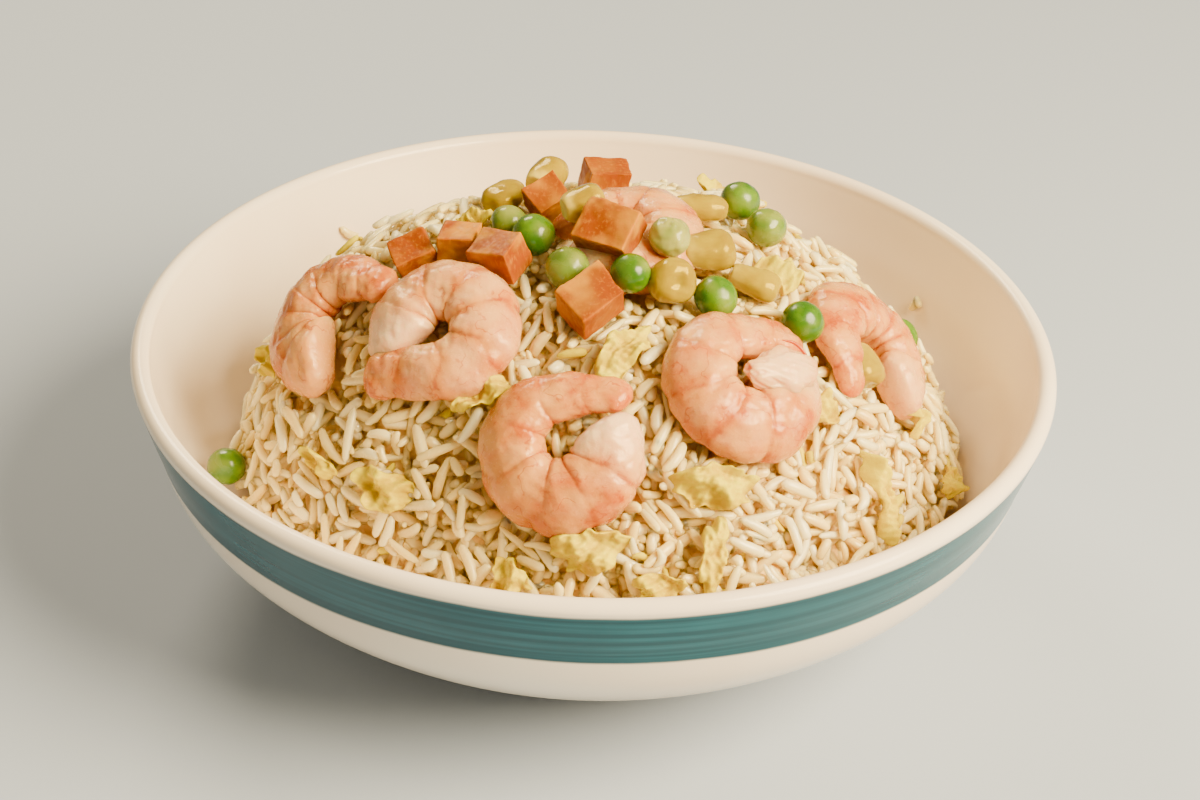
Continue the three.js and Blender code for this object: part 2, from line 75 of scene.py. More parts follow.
def waves(points: np.ndarray, size: float, seed: int, octaves: int = 2) -> np.ndarray:
    """Smooth noise of about -1 to 1: sines along random directions, halving in size.

    Args:
        points: Places in millimetres, with x, y and z last.
        size: Width of the largest bumps.
        seed: Number that picks the directions and phases.
        octaves: How many times finer waves are added.

    Returns:
        One value for each point.
    """
    random = np.random.default_rng(seed)
    total = np.zeros(points.shape[:-1])
    for octave in range(octaves):
        directions = random.normal(size=(7, 3))
        directions /= np.linalg.norm(directions, axis=1, keepdims=True)
        phases = random.uniform(0, TAU, 7)
        scale = TAU / (2 * size / 2**octave)
        total += np.sin(points @ directions.T * scale + phases).sum(-1) / (2.6 * 1.7**octave)
    return total


def spline(points: np.ndarray, steps: int) -> np.ndarray:
    """Carries a uniform Catmull-Rom curve through points, doubling its two ends."""
    spans = len(points) - 1
    place = np.linspace(0, spans, steps + 1)
    base = np.minimum(place.astype(int), spans - 1)
    t = (place - base)[:, None]
    before, start, end, after = (points[np.clip(base + k, 0, spans)] for k in (-1, 0, 1, 2))
    leave, arrive = (end - before) / 2, (after - start) / 2
    cubic = 2 * start - 2 * end + leave + arrive
    square = -3 * start + 3 * end - 2 * leave - arrive
    return ((cubic * t + square) * t + leave) * t + start


def turn_about(axis: int, degrees: float) -> np.ndarray:
    """Rotation matrix about x (0), y (1) or z (2) by the right-hand rule."""
    return np.array(Matrix.Rotation(math.radians(degrees), 3, "XYZ"[axis]))


# ------------------------------------------------------------------ meshes


@dataclass
class Skin:
    """A closed surface before it becomes a mesh: corners, faces and values on the corners."""

    points: np.ndarray
    quads: np.ndarray
    triangles: np.ndarray
    values: dict[str, np.ndarray] = field(default_factory=dict)


def loft_faces(rings: int, sides: int) -> tuple[np.ndarray, np.ndarray]:
    """Faces over rings of points, with a pole before the first ring and one after the last.

    Args:
        rings: Number of rings.
        sides: Number of points in each.

    Returns:
        Quads between the rings, and triangles round the two poles, all facing outwards when
        the rings turn anticlockwise seen from the last pole.
    """
    side = np.arange(sides)
    after = (side + 1) % sides
    starts = 1 + np.arange(rings - 1)[:, None] * sides
    near, near_next = starts + side, starts + after
    quads = np.stack([near, near_next, near_next + sides, near + sides], -1).reshape(-1, 4)
    last = rings * sides + 1
    first_cap = np.stack([np.zeros(sides, int), 1 + after, 1 + side], -1)
    last_cap = np.stack([np.full(sides, last), last - sides + side, last - sides + after], -1)
    return quads, np.concatenate([first_cap, last_cap])


def loft(rings: np.ndarray, start: np.ndarray, end: np.ndarray) -> Skin:
    """Closes a grid of rings, of shape (rings, sides, 3), with a pole at each end."""
    quads, triangles = loft_faces(rings.shape[0], rings.shape[1])
    points = np.concatenate([[start], rings.reshape(-1, 3), [end]])
    return Skin(points, quads, triangles)


def with_poles(values: np.ndarray) -> np.ndarray:
    """Adds a value for each pole to a grid of values on the rings, the mean of the near ring."""
    return np.concatenate([[values[0].mean()], values.ravel(), [values[-1].mean()]])


def add_piece(name: str, skin: Skin, material: bpy.types.Material) -> bpy.types.Object:
    """Makes a shown piece from a skin in millimetres and sets it on the part.

    Args:
        name: Name of the new object.
        skin: Its surface.
        material: Its finish.

    Returns:
        The object, at the origin, with its place in its mesh.
    """
    mesh = bpy.data.meshes.new(name)
    mesh.vertices.add(len(skin.points))
    mesh.vertices.foreach_set("co", (skin.points * MM).astype(np.float32).ravel())
    corners = np.concatenate([skin.quads.ravel(), skin.triangles.ravel()]).astype(np.int32)
    quad_starts = 4 * np.arange(len(skin.quads))
    triangle_starts = skin.quads.size + 3 * np.arange(len(skin.triangles))
    mesh.loops.add(len(corners))
    mesh.loops.foreach_set("vertex_index", corners)
    mesh.polygons.add(len(skin.quads) + len(skin.triangles))
    starts = np.concatenate([quad_starts, triangle_starts]).astype(np.int32)
    mesh.polygons.foreach_set("loop_start", starts)
    mesh.polygons.foreach_set("use_smooth", np.ones(len(starts), bool))
    for label, values in skin.values.items():
        layer = mesh.attributes.new(label, "FLOAT", "POINT")
        layer.data.foreach_set("value", values.astype(np.float32))
    mesh.update(calc_edges=True)
    mesh.validate()
    mesh.materials.append(material)
    piece = bpy.data.objects.new(name, mesh)
    bpy.context.scene.collection.objects.link(piece)
    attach(piece, BODY)
    LOG.info("%s: %d corners, %d faces", name, len(skin.points), len(starts))
    return piece


# ------------------------------------------------------------------ node trees


class NodeBook:
    """Writes the nodes of one tree, with short calls for the ones used most."""

    def __init__(self, tree: bpy.types.NodeTree) -> None:
        """Starts on a tree, which the calls add to."""
        self.tree = tree

    def fill(self, node: bpy.types.Node, inputs: dict) -> bpy.types.Node:
        """Gives a node's inputs, by name or number, their values or links sockets to them."""
        for key, value in inputs.items():
            if isinstance(value, Socket):
                self.tree.links.new(value, node.inputs[key])
            else:
                node.inputs[key].default_value = value
        return node

    def add(self, kind: str, inputs: dict | None = None, **settings: object) -> bpy.types.Node:
        """Adds a node.

        Args:
            kind: Blender's name for the node's type.
            inputs: Values, or sockets to link, by the name or number of the input.
            settings: The node's own properties.

        Returns:
            The node.
        """
        node = self.tree.nodes.new(kind)
        for key, value in settings.items():
            setattr(node, key, value)
        return self.fill(node, inputs or {})

    def place(self) -> Socket:
        """Place on the object, in metres."""
        return self.add("ShaderNodeTexCoord").outputs["Object"]

    def value(self, name: str) -> Socket:
        """A number stored on the mesh's corners."""
        return self.add("ShaderNodeAttribute", attribute_name=name).outputs["Fac"]

    def sum_of(self, operation: str, *terms: object) -> Socket:
        """One Math node, such as ADD or MULTIPLY, of the given terms."""
        return self.add("ShaderNodeMath", dict(enumerate(terms)), operation=operation).outputs[0]

    def times(self, first: object, second: object) -> Socket:
        """One number times another."""
        return self.sum_of("MULTIPLY", first, second)

    def plus(self, first: object, second: object) -> Socket:
        """One number added to another."""
        return self.sum_of("ADD", first, second)

    def remap(self, value: object, low: object, high: object, to: tuple = (0.0, 1.0)) -> Socket:
        """Maps a number from low..high to a range, easing at both ends."""
        inputs = {"Value": value, "From Min": low, "From Max": high, "To Min": to[0], "To Max": to[1]}
        node = self.add("ShaderNodeMapRange", inputs, interpolation_type="SMOOTHSTEP")
        return node.outputs["Result"]

    def tint(self, share: object, below: object, above: object) -> Socket:
        """Mixes two colours by a share of 0 to 1."""
        mix = self.add("ShaderNodeMix", {0: share, 6: below, 7: above}, data_type="RGBA")
        return mix.outputs[2]

    def noise(self, scale: float, detail: float = 2.0, stretch: Colour = (1, 1, 1)) -> Socket:
        """Noise on the object's own coordinates, with bumps of about a millimetre at 1000."""
        spread = self.add("ShaderNodeMapping", {"Vector": self.place(), "Scale": stretch})
        inputs = {"Vector": spread.outputs[0], "Scale": scale, "Detail": detail}
        return self.add("ShaderNodeTexNoise", inputs).outputs["Fac"]

    def group(self, tree: bpy.types.NodeTree, **inputs: object) -> bpy.types.Node:
        """Places a node group, with its inputs by name."""
        return self.add("ShaderNodeGroup", inputs, node_tree=tree)


def new_group(
    name: str, inputs: list[str], outputs: list[str]
) -> tuple[NodeBook, bpy.types.Node, bpy.types.Node]:
    """Starts a shader node group of plain numbers.

    Args:
        name: Name of the group.
        inputs: Names of the inputs.
        outputs: Names of the outputs.

    Returns:
        A book for its nodes, its input node and its output node.
    """
    tree = bpy.data.node_groups.new(name, "ShaderNodeTree")
    for labels, way in ((inputs, "INPUT"), (outputs, "OUTPUT")):
        for label in labels:
            tree.interface.new_socket(label, in_out=way, socket_type="NodeSocketFloat")
    return NodeBook(tree), tree.nodes.new("NodeGroupInput"), tree.nodes.new("NodeGroupOutput")


def mottle_group() -> bpy.types.NodeTree:
    """Soft patches: noise of a given scale, cut between two levels to a mask."""
    book, given, made = new_group("soft_patches", ["Scale", "Low", "High"], ["Mask"])
    inputs = {"Vector": book.place(), "Scale": given.outputs["Scale"], "Detail": 3.0}
    noise = book.add("ShaderNodeTexNoise", inputs).outputs["Fac"]
    book.fill(made, {"Mask": book.remap(noise, given.outputs["Low"], given.outputs["High"])})
    return book.tree


def moist_group() -> bpy.types.NodeTree:
    """Moist surface: a height of two sizes of bump, and a roughness broken by dry patches."""
    finer, fine_share = 3.7, 0.35
    book, given, made = new_group("moist_surface", ["Scale", "Wet", "Dry"], ["Height", "Roughness"])
    place, scale = book.place(), given.outputs["Scale"]
    coarse, fine = (
        book.add("ShaderNodeTexNoise", {"Vector": place, "Scale": size, "Detail": 2.0}).outputs["Fac"]
        for size in (scale, book.times(scale, finer))
    )
    wet, dry = given.outputs["Wet"], given.outputs["Dry"]
    levels = {"Value": coarse, "From Min": 0.35, "From Max": 0.7, "To Min": wet, "To Max": dry}
    dryness = book.add("ShaderNodeMapRange", levels).outputs["Result"]
    book.fill(made, {"Height": book.plus(coarse, book.times(fine, fine_share)), "Roughness": dryness})
    return book.tree


@dataclass(frozen=True)
class Effects:
    """The node groups that more than one finish uses."""

    mottle: bpy.types.NodeTree
    moist: bpy.types.NodeTree

    def patches(self, book: NodeBook, **cut: float) -> Socket:
        """Mask of soft patches, given their Scale and the Low and High level of the cut."""
        return book.group(self.mottle, **cut).outputs["Mask"]


# ------------------------------------------------------------------ finishes


@dataclass(frozen=True)
class Finish:
    """What every food finish shares: how light enters it and how its surface shines."""

    name: str
    glow: float = 0.3
    reach: Colour = (1.0, 0.6, 0.35)
    depth: float = 1.5
    bump: float = 0.15
    relief: float = 0.25
    grain: float = 600.0
    wet: float = 0.2
    dry: float = 0.45
    coat: float = 0.0
    coat_roughness: float = 0.08
    shine: float = 0.4
    gloss: Colour = (255, 255, 255)

    def colour(self, book: NodeBook, effects: Effects) -> Socket:
        """Mixes the colour, each finish in its own way.

        Args:
            book: Book for the material's nodes.
            effects: The shared node groups.

        Returns:
            The socket that puts the colour out.
        """
        raise NotImplementedError

    def make(self, effects: Effects) -> bpy.types.Material:
        """Makes the material: its colour, its moist surface and the light below its skin.

        Args:
            effects: The shared node groups.

        Returns:
            The material.
        """
        material = bpy.data.materials.new(self.name)
        material.use_nodes = True
        book = NodeBook(material.node_tree)
        moist = book.group(effects.moist, Scale=self.grain, Wet=self.wet, Dry=self.dry)
        height = moist.outputs["Height"]
        inputs = {"Height": height, "Strength": self.bump, "Distance": self.relief * MM}
        bump = book.add("ShaderNodeBump", inputs)
        book.fill(material.node_tree.nodes["Principled BSDF"], {
            "Base Color": self.colour(book, effects),
            "Normal": bump.outputs[0],
            "Roughness": moist.outputs["Roughness"],
            "Subsurface Weight": self.glow,
            "Subsurface Radius": self.reach,
            "Subsurface Scale": self.depth * MM,
            "Coat Weight": self.coat,
            "Coat Roughness": self.coat_roughness,
            "Specular IOR Level": self.shine,
            "Specular Tint": linear(*self.gloss),
        })
        return material


@dataclass(frozen=True)
class RiceFinish(Finish):
    """Cooked grains: ivory, some of them chalkier and some stained by sauce, and those set deep in the heap darker with
    painted shade.
    """

    name: str = "cooked_rice"
    plain: Colour = (248, 220, 150)
    chalky: Colour = (252, 232, 182)
    stained: Colour = (240, 206, 122)
    # Painted shade for grains deep in the heap, where the gaps between grains are shaded.
    painted_gap_shade: Colour = (236, 200, 108)

    def colour(self, book: NodeBook, effects: Effects) -> Socket:
        """Mixes the colour from each grain's own tone, soft patches over the heap and painted shade that grows with the
        grain's depth.
        """
        tone = book.value("tone")
        pale = book.tint(book.remap(tone, 0.45, 1.0), linear(*self.plain), linear(*self.chalky))
        patch = effects.patches(book, Scale=28.0, Low=0.46, High=0.68)
        amount = book.times(book.remap(tone, 0.5, 0.0), book.plus(patch, 0.3))
        colour = book.tint(amount, pale, linear(*self.stained))
        # Painted shade: grains set deeper in the heap turn towards the darker colour seen in the gaps.
        colour = book.tint(book.times(book.value("deep"), 0.6), colour, linear(*self.painted_gap_shade))
        return colour


@dataclass(frozen=True)
class CoreFinish(Finish):
    """What shows in the gaps between grains: rice further in, brown with sauce and shade."""

    name: str = "rice_within"
    light: Colour = (236, 202, 116)
    dark: Colour = (208, 164, 78)

    def colour(self, book: NodeBook, effects: Effects) -> Socket:
        """Mixes the colour from two browns, of sauce and of painted shade, in soft patches."""
        # Painted shade: the core's browns stand for the shade in the gaps between grains as well as for sauce.
        patch = effects.patches(book, Scale=350.0, Low=0.35, High=0.65)
        return book.tint(patch, linear(*self.dark), linear(*self.light))


@dataclass(frozen=True)
class ShrimpFinish(Finish):
    """Cooked shrimp: pale flesh, a blush that follows the back, fine creases, an orange tail."""

    name: str = "cooked_shrimp"
    flesh: Colour = (222, 158, 80)
    blush: Colour = (198, 108, 24)
    white: Colour = (244, 206, 162)
    crease: Colour = (176, 72, 4)
    width: float = 0.02

    def colour(self, book: NodeBook, effects: Effects) -> Socket:
        """Mixes the colour from the values that the mesh carries along the body."""
        patch = effects.patches(book, Scale=170.0, Low=0.36, High=0.66)
        fine = effects.patches(book, Scale=900.0, Low=0.5, High=0.72)
        warmth = book.times(book.value("blush"), book.plus(patch, 0.45))
        colour = book.tint(warmth, linear(*self.flesh), linear(*self.blush))
        colour = book.tint(book.value("white"), colour, linear(*self.white))
        speckle = book.times(fine, book.times(book.value("blush"), 0.5))
        colour = book.tint(speckle, colour, linear(*self.crease))
        colour = book.tint(book.value("crease"), colour, linear(*self.crease))
        off = book.sum_of("ABSOLUTE", book.sum_of("SUBTRACT", book.noise(150.0, 3.0), 0.5))
        vein = book.times(book.remap(off, self.width, 0.002), book.remap(patch, 0.2, 0.8))
        share = book.times(vein, book.remap(book.value("white"), 0.7, 0.0, (0.0, 0.62)))
        colour = book.tint(share, colour, linear(*self.crease))
        return colour


@dataclass(frozen=True)
class PeaFinish(Finish):
    """Green pea: thin bright skin in soft patches, as pale as the mesh says."""

    name: str = "green_pea"
    deep: Colour = (50, 96, 2)
    bright: Colour = (92, 130, 6)
    pale: Colour = (164, 164, 76)

    def colour(self, book: NodeBook, effects: Effects) -> Socket:
        """Mixes the colour from each pea's own paleness and soft patches."""
        patch = effects.patches(book, Scale=140.0, Low=0.35, High=0.68)
        colour = book.tint(patch, linear(*self.deep), linear(*self.bright))
        colour = book.tint(book.value("pale"), colour, linear(*self.pale))
        return colour


@dataclass(frozen=True)
class CarrotFinish(Finish):
    """Diced carrot: orange flesh with deep patches, and paler hearts, fibres and edges."""

    name: str = "diced_carrot"
    flesh: Colour = (150, 82, 0)
    deep: Colour = (138, 62, 0)
    fibre: Colour = (184, 112, 0)
    heart: Colour = (200, 138, 0)

    def colour(self, book: NodeBook, effects: Effects) -> Socket:
        """Mixes the colour from patches and stretched fibres."""
        patch = effects.patches(book, Scale=120.0, Low=0.38, High=0.66)
        colour = book.tint(patch, linear(*self.deep), linear(*self.flesh))
        fibre = book.remap(book.noise(1400.0, 3.0, (1, 1, 0.3)), 0.5, 0.72)
        heart = effects.patches(book, Scale=62.0, Low=0.48, High=0.6)
        colour = book.tint(book.times(heart, 0.8), colour, linear(*self.heart))
        share = book.times(fibre, 0.55)
        colour = book.tint(share, colour, linear(*self.fibre))
        colour = book.tint(book.value("edge"), colour, linear(*self.fibre))
        return colour


@dataclass(frozen=True)
class CornFinish(Finish):
    """Sweetcorn kernel: golden skin that turns pale towards the cut end."""

    name: str = "corn_kernel"
    golden: Colour = (152, 126, 0)
    bright: Colour = (170, 147, 0)
    base: Colour = (232, 208, 80)

    def colour(self, book: NodeBook, effects: Effects) -> Socket:
        """Mixes the colour from patches and the share of the way to the cut end."""
        patch = effects.patches(book, Scale=160.0, Low=0.36, High=0.66)
        colour = book.tint(patch, linear(*self.golden), linear(*self.bright))
        colour = book.tint(book.value("cut"), colour, linear(*self.base))
        return colour


@dataclass(frozen=True)
class EggFinish(Finish):
    """Scrambled egg: painted light on the pale yellow raised folds and painted shade in the ochre hollows."""

    name: str = "scrambled_egg"
    fold: Colour = (220, 205, 0)
    # Painted shade in the hollows between folds.
    hollow_shade: Colour = (192, 160, 0)
    white: Colour = (238, 226, 20)

    def colour(self, book: NodeBook, effects: Effects) -> Socket:
        """Mixes the colour from the height of the folds that the mesh carries: the raised folds get painted light and
        the hollows painted shade.
        """
        colour = book.tint(book.value("fold"), linear(*self.hollow_shade), linear(*self.fold))
        patch = effects.patches(book, Scale=300.0, Low=0.55, High=0.75)
        share = book.times(patch, 0.6)
        colour = book.tint(share, colour, linear(*self.white))
        return colour


@dataclass(frozen=True)
class GlazeFinish:
    """The bowl's glossy cream glaze with a teal band brushed on below the lip."""

    cream: Colour = (248, 236, 218)
    warm: Colour = (240, 222, 200)
    teal: Colour = (6, 66, 80)
    thin_teal: Colour = (30, 98, 114)
    band: tuple[float, float] = (47.4, 62.6)
    edge: float = 0.5
    roughness: float = 0.16
    shine: float = 0.3

    def make(self, effects: Effects) -> bpy.types.Material:
        """Makes the material: the band lies between two heights on the outside alone.

        Args:
            effects: The shared node groups.

        Returns:
            The material.
        """
        material = bpy.data.materials.new("painted_glaze")
        material.use_nodes = True
        book = NodeBook(material.node_tree)
        height = book.add("ShaderNodeSeparateXYZ", {0: book.place()}).outputs["Z"]
        waver = book.times(book.sum_of("SUBTRACT", book.noise(18.0, 3.0), 0.5), 1.6 * MM)
        level = book.plus(height, waver)
        low, high, edge = self.band[0] * MM, self.band[1] * MM, self.edge * MM
        above = book.remap(level, low - edge, low + edge)
        below = book.remap(level, high + edge, high - edge)
        outside = book.value("outside")
        band = book.times(book.times(above, below), outside)
        streak = book.remap(book.noise(26.0, 2.0, (0.35, 0.35, 26.0)), 0.36, 0.7)
        blotch = effects.patches(book, Scale=30.0, Low=0.35, High=0.7)
        brush = book.times(streak, book.plus(book.times(blotch, 0.5), 0.5))
        paint = book.tint(brush, linear(*self.teal), linear(*self.thin_teal))
        cloud = effects.patches(book, Scale=14.0, Low=0.3, High=0.75)
        glaze = book.tint(cloud, linear(*self.cream), linear(*self.warm))
        inputs = {"Height": book.noise(60.0, 2.0), "Strength": 0.08, "Distance": 0.4 * MM}
        book.fill(material.node_tree.nodes["Principled BSDF"], {
            "Base Color": book.tint(band, glaze, paint),
            "Normal": book.add("ShaderNodeBump", inputs).outputs[0],
            "Roughness": self.roughness,
            "Specular IOR Level": self.shine,
        })
        return material


# ------------------------------------------------------------------ the heap's surface


@dataclass(frozen=True)
class Mound:
    """The heap of rice as a leaning dome whose plan has a few shallow lobes."""

    foot: float = 23.7
    rise: float = 69.2
    radius: float = 83.7
    shoulder: float = 3.4
    crown: float = 1.2
    centre: tuple[float, float] = (10.0, -11.0)
    lean: tuple[float, float] = (-12.0, 8.0)
    lobes: tuple = ((2, 0.09, 0.021), (3, -0.07, 0.035))

    def reach(self, angle: np.ndarray) -> np.ndarray:
        """Radius of the plan: a circle with cosine and sine lobes."""
        waves_round = sum(c * np.cos(n * angle) + s * np.sin(n * angle) for n, c, s in self.lobes)
        return self.radius * (1 + waves_round)

    def height(self, x: np.ndarray, y: np.ndarray) -> np.ndarray:
        """Height at a place, where the dome's share of its rise is found by halving steps."""
        share = np.zeros(np.shape(x))
        for _ in range(14):
            dx = x - self.centre[0] - self.lean[0] * share
            dy = y - self.centre[1] - self.lean[1] * share
            out = np.hypot(dx, dy) / self.reach(np.arctan2(dy, dx))
            share = (share + np.maximum(0, 1 - out**self.shoulder) ** (1 / self.crown)) / 2
        return self.foot + self.rise * share

    def surface(self, direction: np.ndarray) -> np.ndarray:
        """Where rays from the middle of the foot meet the dome, found by halving."""
        angle = np.arctan2(direction[..., 1], direction[..., 0])
        flat = np.hypot(direction[..., 0], direction[..., 1]) / self.reach(angle)
        up = np.maximum(direction[..., 2], 0) / self.rise
        near, far = np.zeros(flat.shape), np.full(flat.shape, 4 * self.radius)
        for _ in range(40):
            middle = (near + far) / 2
            inside = (middle * flat) ** self.shoulder + (middle * up) ** self.crown < 1
            near, far = np.where(inside, middle, near), np.where(inside, far, middle)
        share = near * up
        x = self.centre[0] + self.lean[0] * share + near * direction[..., 0]
        y = self.centre[1] + self.lean[1] * share + near * direction[..., 1]
        return np.stack([x, y, self.foot + near * direction[..., 2]], -1)

    def toward(self, points: np.ndarray) -> np.ndarray:
        """Directions of the rays that pass through points, undoing the dome's lean."""
        share = np.maximum(points[..., 2] - self.foot, 0) / self.rise
        x = points[..., 0] - self.centre[0] - self.lean[0] * share
        y = points[..., 1] - self.centre[1] - self.lean[1] * share
        ray = np.stack([x, y, np.maximum(points[..., 2] - self.foot, 0.01)], -1)
        return ray / np.linalg.norm(ray, axis=-1, keepdims=True)

    def relief(self, points: np.ndarray) -> np.ndarray:
        """How far the rice bulges or dips from the dome, in soft clumps of two sizes."""
        return 0.95 * waves(points, 11, 3, 1) + 0.6 * waves(points, 5.5, 4, 1)

    def stand(self, x: float, y: float) -> tuple[np.ndarray, np.ndarray]:
        """Point on the heap, and a matrix whose columns run right, away and out from it."""
        step = 0.5
        slope_x = (self.height(x + step, y) - self.height(x - step, y)) / (2 * step)
        slope_y = (self.height(x, y + step) - self.height(x, y - step)) / (2 * step)
        normal = np.array([-slope_x, -slope_y, 1.0])
        normal /= np.linalg.norm(normal)
        right = np.array([1.0, 0, 0]) - normal[0] * normal
        right /= np.linalg.norm(right)
        return np.array([x, y, float(self.height(x, y))]), np.stack([right, np.cross(normal, right), normal], 1)


MOUND = Mound()


@dataclass(frozen=True)
class Perch:
    """Where a topping lies on the heap.

    Fields: x and y on the heap, lift of the centre from its surface, and turn about the
    surface's normal, then tip about the piece's long axis and pitch across it, in degrees.
    """

    x: float
    y: float
    lift: float
    turn: float = 0.0
    tip: float = 0.0
    pitch: float = 0.0

    def settle(self, points: np.ndarray) -> np.ndarray:
        """Carries points from the piece's own axes to its place on the heap."""
        origin, basis = MOUND.stand(self.x, self.y)
        pose = basis @ turn_about(2, self.turn) @ turn_about(1, -self.pitch) @ turn_about(0, self.tip)
        return origin + basis[:, 2] * self.lift + points @ pose.T


# ------------------------------------------------------------------ bowl


@dataclass
class Bowl:
    """Thrown bowl with a round lip and a foot ring. Outlines are [radius, depth below the rim]."""

    rim_plane: float = 63.7
    rim_radius: float = 110.0
    rim_round: float = 2.3
    outside: tuple = ((110, 0), (106.4, 12), (100.7, 27), (84, 43), (62, 57.6), (47.5, 62))
    inside: tuple = ((105.4, 0), (101.9, 12), (96, 26), (80, 40.5), (58, 52.3), (28, 56.6), (0, 57))
    foot_outer: float = 46.5
    foot_inner: float = 42.0
    foot_recess: float = 2.4
    foot_round: float = 0.8
    sides: int = 200

    def wall(self, points: tuple, steps: int) -> np.ndarray:
        """One face of the wall from the rim down, as radius and height."""
        curve = spline(np.array(points, float), steps)
        return np.stack([curve[:, 0], self.rim_plane - curve[:, 1]], -1)

    def inner_radius(self, height: np.ndarray) -> np.ndarray:
        """Radius of the inner face at a height."""
        wall = self.wall(self.inside, 60)[::-1]
        return np.interp(height, wall[:, 1], wall[:, 0])

    def arc(self, middle: tuple[float, float], radius: float, start: float, end: float) -> np.ndarray:
        """Six points round part of a circle, between two angles in degrees."""
        angles = np.radians(np.linspace(start, end, 6))
        return np.stack([middle[0] + radius * np.cos(angles), middle[1] + radius * np.sin(angles)], -1)

    def profile(self) -> tuple[np.ndarray, np.ndarray]:
        """The whole outline from under the foot, up the outside, over the lip and down inside.

        Returns:
            Points of radius and height, and 1 for those on the outside and 0 for the others.
        """
        bend = self.foot_round
        recess = np.array([[8.0, self.foot_recess], [24.0, self.foot_recess], [38.6, self.foot_recess]])
        ring = np.concatenate([
            self.arc((self.foot_inner + bend, bend), bend, 180, 270),
            self.arc((self.foot_outer - bend, bend), bend, 270, 360),
        ])
        outer = self.wall(self.outside, 44)[::-1]
        angles = np.linspace(0, math.pi, 15)[1:-1]
        lip_x = self.rim_radius - self.rim_round + self.rim_round * np.cos(angles)
        lip = np.stack([lip_x, self.rim_plane + self.rim_round * np.sin(angles)], -1)
        inner = self.wall(self.inside, 46)[:-1]
        points = np.concatenate([recess, ring, outer, lip, inner])
        under = len(recess) + len(ring)
        outward = np.zeros(len(points))
        outward[: under + len(outer) + len(lip) // 2] = 1
        return points, outward

    def skin(self) -> Skin:
        """Turns the outline round the axis."""
        points, outward = self.profile()
        angle = TAU * np.arange(self.sides) / self.sides
        radius, height = points[:, :1], points[:, 1:]
        rings = np.stack([radius * np.cos(angle), radius * np.sin(angle), height + 0 * angle], -1)
        skin = loft(rings, np.array([0, 0, self.foot_recess]), np.array([0, 0, self.wall(self.inside, 46)[-1, 1]]))
        skin.values["outside"] = with_poles(np.repeat(outward[:, None], self.sides, 1))
        return skin

    def build(self, effects: Effects) -> None:
        """Makes the bowl in place of its solid."""
        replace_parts(add_piece("glazed_bowl", self.skin(), GlazeFinish().make(effects)), "bowl")


# ------------------------------------------------------------------ shrimps


